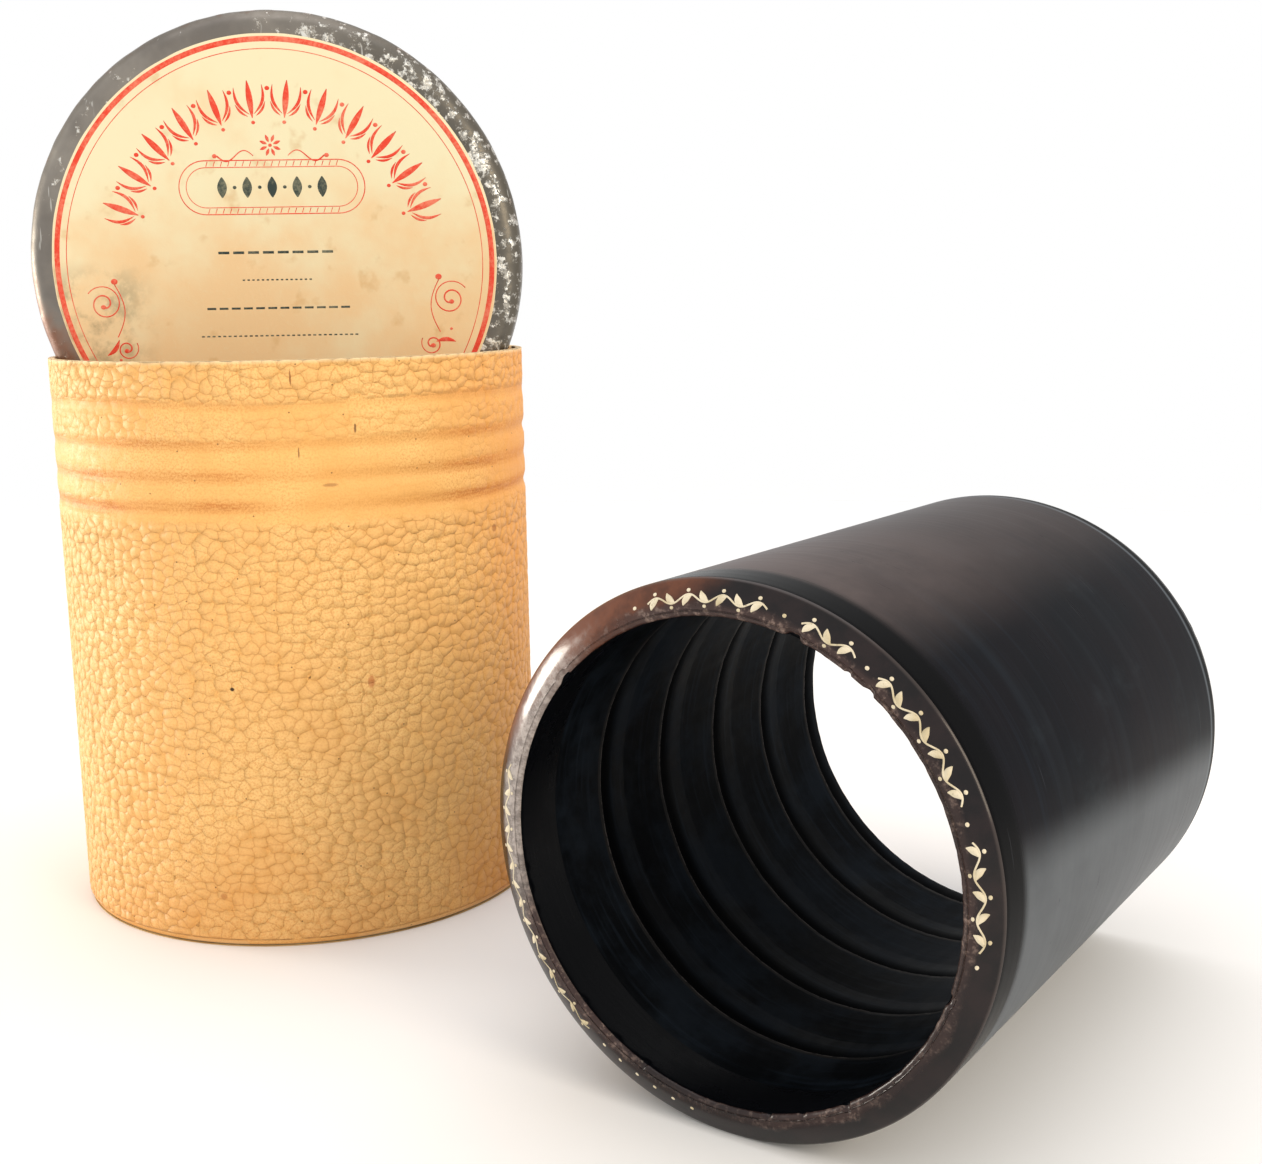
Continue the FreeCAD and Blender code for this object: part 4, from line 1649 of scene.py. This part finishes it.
@dataclass
class Record:
    """The wax cylinder record: ribbed bore, sloped title rim, plain face and filled rim marks.

    Attributes:
        plain_bevel: The length and the depth of the bevel at the plain end.
        chips: How many chips the mouth's edge has, the nicks among them.
        chip_depths: How deep the shallowest and the deepest chip may be.
        nicks: Where the two large nicks are, as angles in degrees.
        mouth_zone: Between which distances from the mouth's edge the wear runs out.
    """

    title_wall: float = 5.9
    rim_advance: float = 2.5
    outer_round: float = 0.5
    inner_round: float = 0.8
    rim_crown: float = 0.4
    land_start: float = 10.0
    land_length: float = 13.5
    land_step: float = 1.7
    bore_taper: float = 0.022
    rib_count: int = 4
    rib_pitch: float = 20.0
    rib_height: float = 1.1
    crest_width: float = 0.8
    step_length: float = 1.0
    recess_length: float = 9.0
    plain_bevel: Pair = (2.5, 0.6)
    columns: int = 560
    chips: int = 18
    chip_depths: Pair = (0.2, 0.5)
    nicks: Pair = (72.0, 138.0)
    nick_half: float = 1.6
    nick_depth: float = 0.75
    mouth_zone: Pair = (0.9, 1.9)

    @property
    def outer_radius(self) -> float:
        """The record's outer radius."""
        low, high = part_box("record_body")
        return (high.z - low.z) / 2 / METRES

    @property
    def mouth_radius(self) -> float:
        """The radius of the bore at the title rim."""
        return self.outer_radius - self.title_wall

    @property
    def length(self) -> float:
        """The record's length from the title rim's outer edge to its plain end."""
        return 2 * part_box("record_body")[1].y / METRES

    @property
    def axes(self) -> Axes:
        """Where the record lies: the middle of its title rim's outer edge, seen from its title end."""
        low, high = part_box("record_body")
        middle = ((low.x + high.x) / 2 / METRES, -high.y / METRES, (low.z + high.z) / 2 / METRES)
        return Axes(middle, (1.0, 0.0, 0.0), (0.0, 0.0, 1.0))

    @property
    def crests(self) -> tuple[float, ...]:
        """How deep each rib crest's far edge lies in the bore, the land's edge first."""
        land_end = self.land_start + self.land_length
        return tuple(land_end + self.rib_pitch * index for index in range(self.rib_count + 1))

    def build(self) -> None:
        """Builds the record's pieces."""
        self.build_body()
        self.build_marks()

    def body_corners(self) -> list[Corner]:
        """The record's section: along the face, over the title rim and back through the bore."""
        outer, mouth, length = self.outer_radius, self.mouth_radius, self.length
        land = mouth + self.land_step
        bevel_length, bevel_depth = self.plain_bevel
        corners = [
            Corner(outer - bevel_depth, -length, 0.15, 0.7),
            Corner(outer, bevel_length - length, 0.6, 3.5),
            Corner(outer, -6.0, 0.0, 1.0),
            Corner(outer, 0.0, self.outer_round, 0.3),
            Corner(mouth, self.rim_advance, self.inner_round, 0.6),
            Corner(land, -self.land_start, 0.25, 1.5),
            Corner(land, -self.crests[0], 0.15, 0.6),
        ]
        crest = land
        for edge in self.crests[:-1]:
            recess = crest + self.rib_height
            crest += self.bore_taper * self.rib_pitch
            far_recess = recess + self.bore_taper * self.rib_pitch / 2
            corners += [
                Corner(recess, -edge - self.step_length, 0.35, 1.8),
                Corner(far_recess, -edge - self.recess_length, 0.6, 1.6),
                Corner(crest, self.crest_width - edge - self.rib_pitch, 0.2, 0.4),
                Corner(crest, -edge - self.rib_pitch, 0.2, 0.6),
            ]
        last = crest + self.rib_height
        corners.append(Corner(last, -self.crests[-1] - self.step_length, 0.3, 1.2))
        corners.append(Corner(last, -length, 0.3, 0.6))
        return corners

    def build_body(self) -> None:
        """Builds the moulding, with its chipped mouth and slightly uneven ribs."""
        outline = outline_points(self.body_corners())
        body = turned_object("record_moulding", self.axes, outline, full_turn(self.columns), self.wear)
        place = np.zeros(len(body.data.vertices) * 3, np.float32)
        body.data.attributes["place"].data.foreach_get("vector", place)
        place = place.reshape(-1, 3)
        firsts = np.array([polygon.vertices[0] for polygon in body.data.polygons])
        lasts = np.array([polygon.vertices[2] for polygon in body.data.polygons])
        radius = (place[firsts, 0] + place[lasts, 0]) / 2
        out = (place[firsts, 1] + place[lasts, 1]) / 2
        zones = np.full(len(firsts), WaxZone.FACE.value)
        zones[radius < self.outer_radius - 0.7] = WaxZone.BORE.value
        slope = self.rim_advance * (self.outer_radius - radius) / self.title_wall
        zones[(out > -0.2) & (out > slope - self.inner_round * 1.2)] = WaxZone.RIM.value
        body.data.polygons.foreach_set("material_index", zones.astype(np.int32))
        materials = [
            RecordWax(self.length, self.plain_bevel[0]).material(),
            RimWax(self.mouth_radius, self.outer_radius).material(),
            BoreWax(self.land_start, self.land_start + self.land_length, self.rib_pitch).material(),
        ]
        dress(body, Body.RECORD, materials, ("record_body",))

    def wear(self, radius: np.ndarray, out: np.ndarray, angle: np.ndarray) -> Worn:
        """Chips the mouth's edge, roughens the rim's inner third and wavers the ribs a little.

        Args:
            radius: Each point's radius.
            out: Its place along the axis.
            angle: Its angle.

        Returns:
            The new radii and places along the axis.
        """
        points = around(radius, angle, out)
        rng = np.random.default_rng(71)
        from_mouth = np.hypot(radius - self.mouth_radius, out - self.rim_advance)
        near_mouth = 1 - eased(from_mouth, *self.mouth_zone)
        bite = np.zeros_like(radius)
        for index in range(self.chips):
            middle = rng.uniform(0, 2 * math.pi)
            half = rng.uniform(0.35, 1.2) / self.mouth_radius
            if index < len(self.nicks):
                middle, half = math.radians(self.nicks[index]), self.nick_half / self.mouth_radius
            away = np.abs((angle - middle + math.pi) % (2 * math.pi) - math.pi)
            deep = self.nick_depth if index < len(self.nicks) else rng.uniform(*self.chip_depths)
            bite = np.maximum(bite, (1 - eased(away, half * 0.35, half)) * deep)
        rough = np.clip(ripple(points, 3.0, 72), 0, 1.2) * 0.05
        radius_out = radius + near_mouth * (bite * 0.9 + rough)
        out_moved = out - near_mouth * (bite * 0.8 + rough * 0.8)
        out_moved = out_moved + np.where(out > 0.05, self.crown_height(radius), 0)
        bore = 1 - eased(radius, self.mouth_radius + 5.2, self.mouth_radius + 5.4)
        inside = bore * eased(-out, self.land_start, self.land_start + 2)
        waver = inside * 0.05 * ripple(points, 18.0, 73)
        return radius_out + waver + inside * 0.02 * ripple(points, 2.5, 74), out_moved

    def crown_height(self, radius: np.ndarray) -> np.ndarray:
        """How far the title rim swells out of its plain slope.

        Args:
            radius: Each point's radius.

        Returns:
            The height above the plain slope.
        """
        share = (radius - self.rim_middle) / (self.title_wall / 2)
        past_edge = eased(radius, self.mouth_radius + 1.0, self.mouth_radius + 2.6)
        return self.rim_crown * np.clip(1 - share * share, 0, 1) * past_edge

    def on_rim(self, places: np.ndarray) -> np.ndarray:
        """Puts places on the title rim into the row frame.

        Args:
            places: Distance round the rim, place across it and height, one row each.

        Returns:
            The same places as x, y and z.
        """
        slope = math.atan2(self.rim_advance, self.title_wall)
        radius = self.rim_middle + places[:, 1] * math.cos(slope) + places[:, 2] * math.sin(slope)
        out = self.rim_advance / 2 - places[:, 1] * math.sin(slope) + places[:, 2] * math.cos(slope)
        out = out + self.crown_height(radius)
        angle = places[:, 0] / self.rim_middle
        return self.axes.place(around(radius, angle, out))

    def build_marks(self) -> None:
        """Builds the pale marks: a leafy vine in four lengths, and a finer one low on the left."""
        paste = Inlay(self.on_rim, 0.05, 0.25)
        for first, last, sprigs in ((-6.0, 16.0, 5), (23.0, 52.0, 7), (58.0, 71.0, 3), (79.0, 108.0, 7)):
            self.vine(paste, first, last, sprigs, 1.3)
        self.vine(paste, 166.0, 232.0, 15, 1.15)
        for angle in (-9.0, 19.5, 54.9, 75.0, 111.5, 237.0, 242.0, 247.0, 252.0, 257.0, 262.0):
            paste.dot((math.radians(angle) * self.rim_middle, 0.0), 0.34)
        marks = paste.make("title_vine")
        dress(marks, Body.RECORD, [CreamPaste().material()], ("title_marks",))

    @property
    def rim_middle(self) -> float:
        """The radius at the middle of the title rim."""
        return (self.outer_radius + self.mouth_radius) / 2

    def vine(self, paste: Inlay, first: float, last: float, sprigs: int, size: float) -> None:
        """Adds a wavy stem with a full leaf in each bend and a berry opposite.

        Args:
            paste: What it is added to.
            first: The angle of its start, in degrees.
            last: The angle of its end, in degrees.
            sprigs: How many bends it has.
            size: How large its leaves are, against a height of about 2 mm.
        """
        share = np.linspace(0, 1, 12 * sprigs + 1)
        along = np.radians(first + (last - first) * share) * self.rim_middle
        stem = np.column_stack([along, 0.5 * size * np.sin(share * sprigs * math.pi)])
        paste.stroke(stem, 0.24 * size)
        for index in range(sprigs):
            middle = math.radians(first + (last - first) * (index + 0.5) / sprigs) * self.rim_middle
            side = size if index % 2 == 0 else -size
            root = (middle - 0.45 * size, 0.4 * side)
            paste.leaf(root, (middle + 0.75 * size, -0.85 * side), 0.95 * size, 0.14 if side > 0 else -0.14)
            paste.dot((middle + 0.1 * size, 0.98 * side), 0.25 * size)


@dataclass(frozen=True)
class Lamp:
    """A square soft lamp: its place, its target and its side in metres, its power and its colour."""

    name: str
    place: Triple
    target: Triple
    size: float
    power: float
    tint: str

    def make(self) -> None:
        """Makes the lamp."""
        data = bpy.data.lights.new(self.name, "AREA")
        data.size = self.size
        data.energy = self.power
        data.color = colour(self.tint)[:3]
        made = bpy.data.objects.new(self.name, data)
        bpy.context.scene.collection.objects.link(made)
        made.location = self.place
        aim = Vector(self.target) - Vector(self.place)
        made.rotation_euler = aim.to_track_quat("-Z", "Y").to_euler()


@dataclass
class Studio:
    """The floor, the soft lights and the camera, with their places in metres."""

    camera_place: Triple = (0.26478, -0.25465, 0.13077)
    look_azimuth: float = 124.37
    look_down: float = 10.29
    roll: float = 0.95
    lens: float = 45.58
    world_strength: float = 0.93
    floor_half: float = 3.0
    floor_fade: Pair = (0.26, 0.9)

    def build(self) -> None:
        """Builds the stage."""
        self.build_floor()
        self.build_lights()
        self.build_camera()
        bpy.context.scene.view_settings.view_transform = "Standard"

    def build_floor(self) -> None:
        """Makes a wide plain floor that fades out far from the object."""
        half = self.floor_half
        mesh = bpy.data.meshes.new("floor")
        corners = [(-half, -half, 0), (half, -half, 0), (half, half, 0), (-half, half, 0)]
        mesh.from_pydata(corners, [], [(0, 1, 2, 3)])
        floor = bpy.data.objects.new("floor", mesh)
        bpy.context.scene.collection.objects.link(floor)
        paint = Paint("floor", Roughness=0.9, Specular_IOR_Level=0.1)
        tone = paint.mix(paint.noise(paint.here, 2.0, 2.0), "F2F1EF", "F6F5F3")
        away = paint.vector_math("DISTANCE", paint.here, (0.07, 0.0, 0.0)).outputs["Value"]
        paint.feed(paint.shader.inputs["Alpha"], paint.span(away, *self.floor_fade, 1.0, 0.0))
        floor.data.materials.append(paint.finish(tone))

    def build_lights(self) -> None:
        """Makes a pale world, a small lamp low at the left, a broad one above and a warm one at the right."""
        world = bpy.data.worlds.new("world")
        world.use_nodes = True
        bpy.context.scene.world = world
        nodes = Nodes(world.node_tree)
        path = nodes.add("ShaderNodeLightPath").outputs
        mirrored = nodes.math("MAXIMUM", path["Is Glossy Ray"], path["Is Transmission Ray"])
        seen = nodes.math("MAXIMUM", path["Is Camera Ray"], mirrored)
        background = world.node_tree.nodes["Background"]
        background.inputs["Color"].default_value = (1.0, 1.0, 1.0, 1.0)
        inputs = {"Value": seen, "To Min": self.world_strength, "To Max": 1.0}
        strength = nodes.add("ShaderNodeMapRange", inputs).outputs["Result"]
        nodes.feed(background.inputs["Strength"], strength)
        lamps = (
            Lamp("left_lamp", (-0.75, -0.26, 0.115), (0.05, 0.0, 0.06), 0.2, 4.3, "FFF8EC"),
            Lamp("top_lamp", (0.0, 0.1, 1.1), (0.05, 0.0, 0.05), 1.0, 3.2, "FAF8FF"),
            Lamp("right_lamp", (1.0, -0.15, 0.45), (0.05, 0.0, 0.07), 0.5, 4.6, "FFEDD2"),
        )
        for lamp in lamps:
            lamp.make()

    def build_camera(self) -> None:
        """Makes the camera, from its place, the way it looks and its roll."""
        azimuth, down, roll = map(math.radians, (self.look_azimuth, self.look_down, self.roll))
        level = math.cos(down)
        look = Vector((math.cos(azimuth) * level, math.sin(azimuth) * level, -math.sin(down)))
        right = Vector((math.sin(azimuth), -math.cos(azimuth), 0.0))
        up = right.cross(look)
        side = right * math.cos(roll) - up * math.sin(roll)
        top = right * math.sin(roll) + up * math.cos(roll)
        turned = Matrix((side, top, -look)).transposed().to_4x4()
        data = bpy.data.cameras.new("camera")
        data.lens = self.lens
        data.sensor_width = 36.0
        data.clip_start = 0.01
        made = bpy.data.objects.new("camera", data)
        bpy.context.scene.collection.objects.link(made)
        made.matrix_world = Matrix.Translation(self.camera_place) @ turned
        bpy.context.scene.camera = made


def main() -> None:
    """Builds the stage and every piece in order."""
    logging.basicConfig(level=logging.INFO, format="%(name)s: %(message)s")
    Studio().build()
    for assembly in (Carton(), Lid(), Record()):
        assembly.build()


if __name__ == "__main__":
    main()
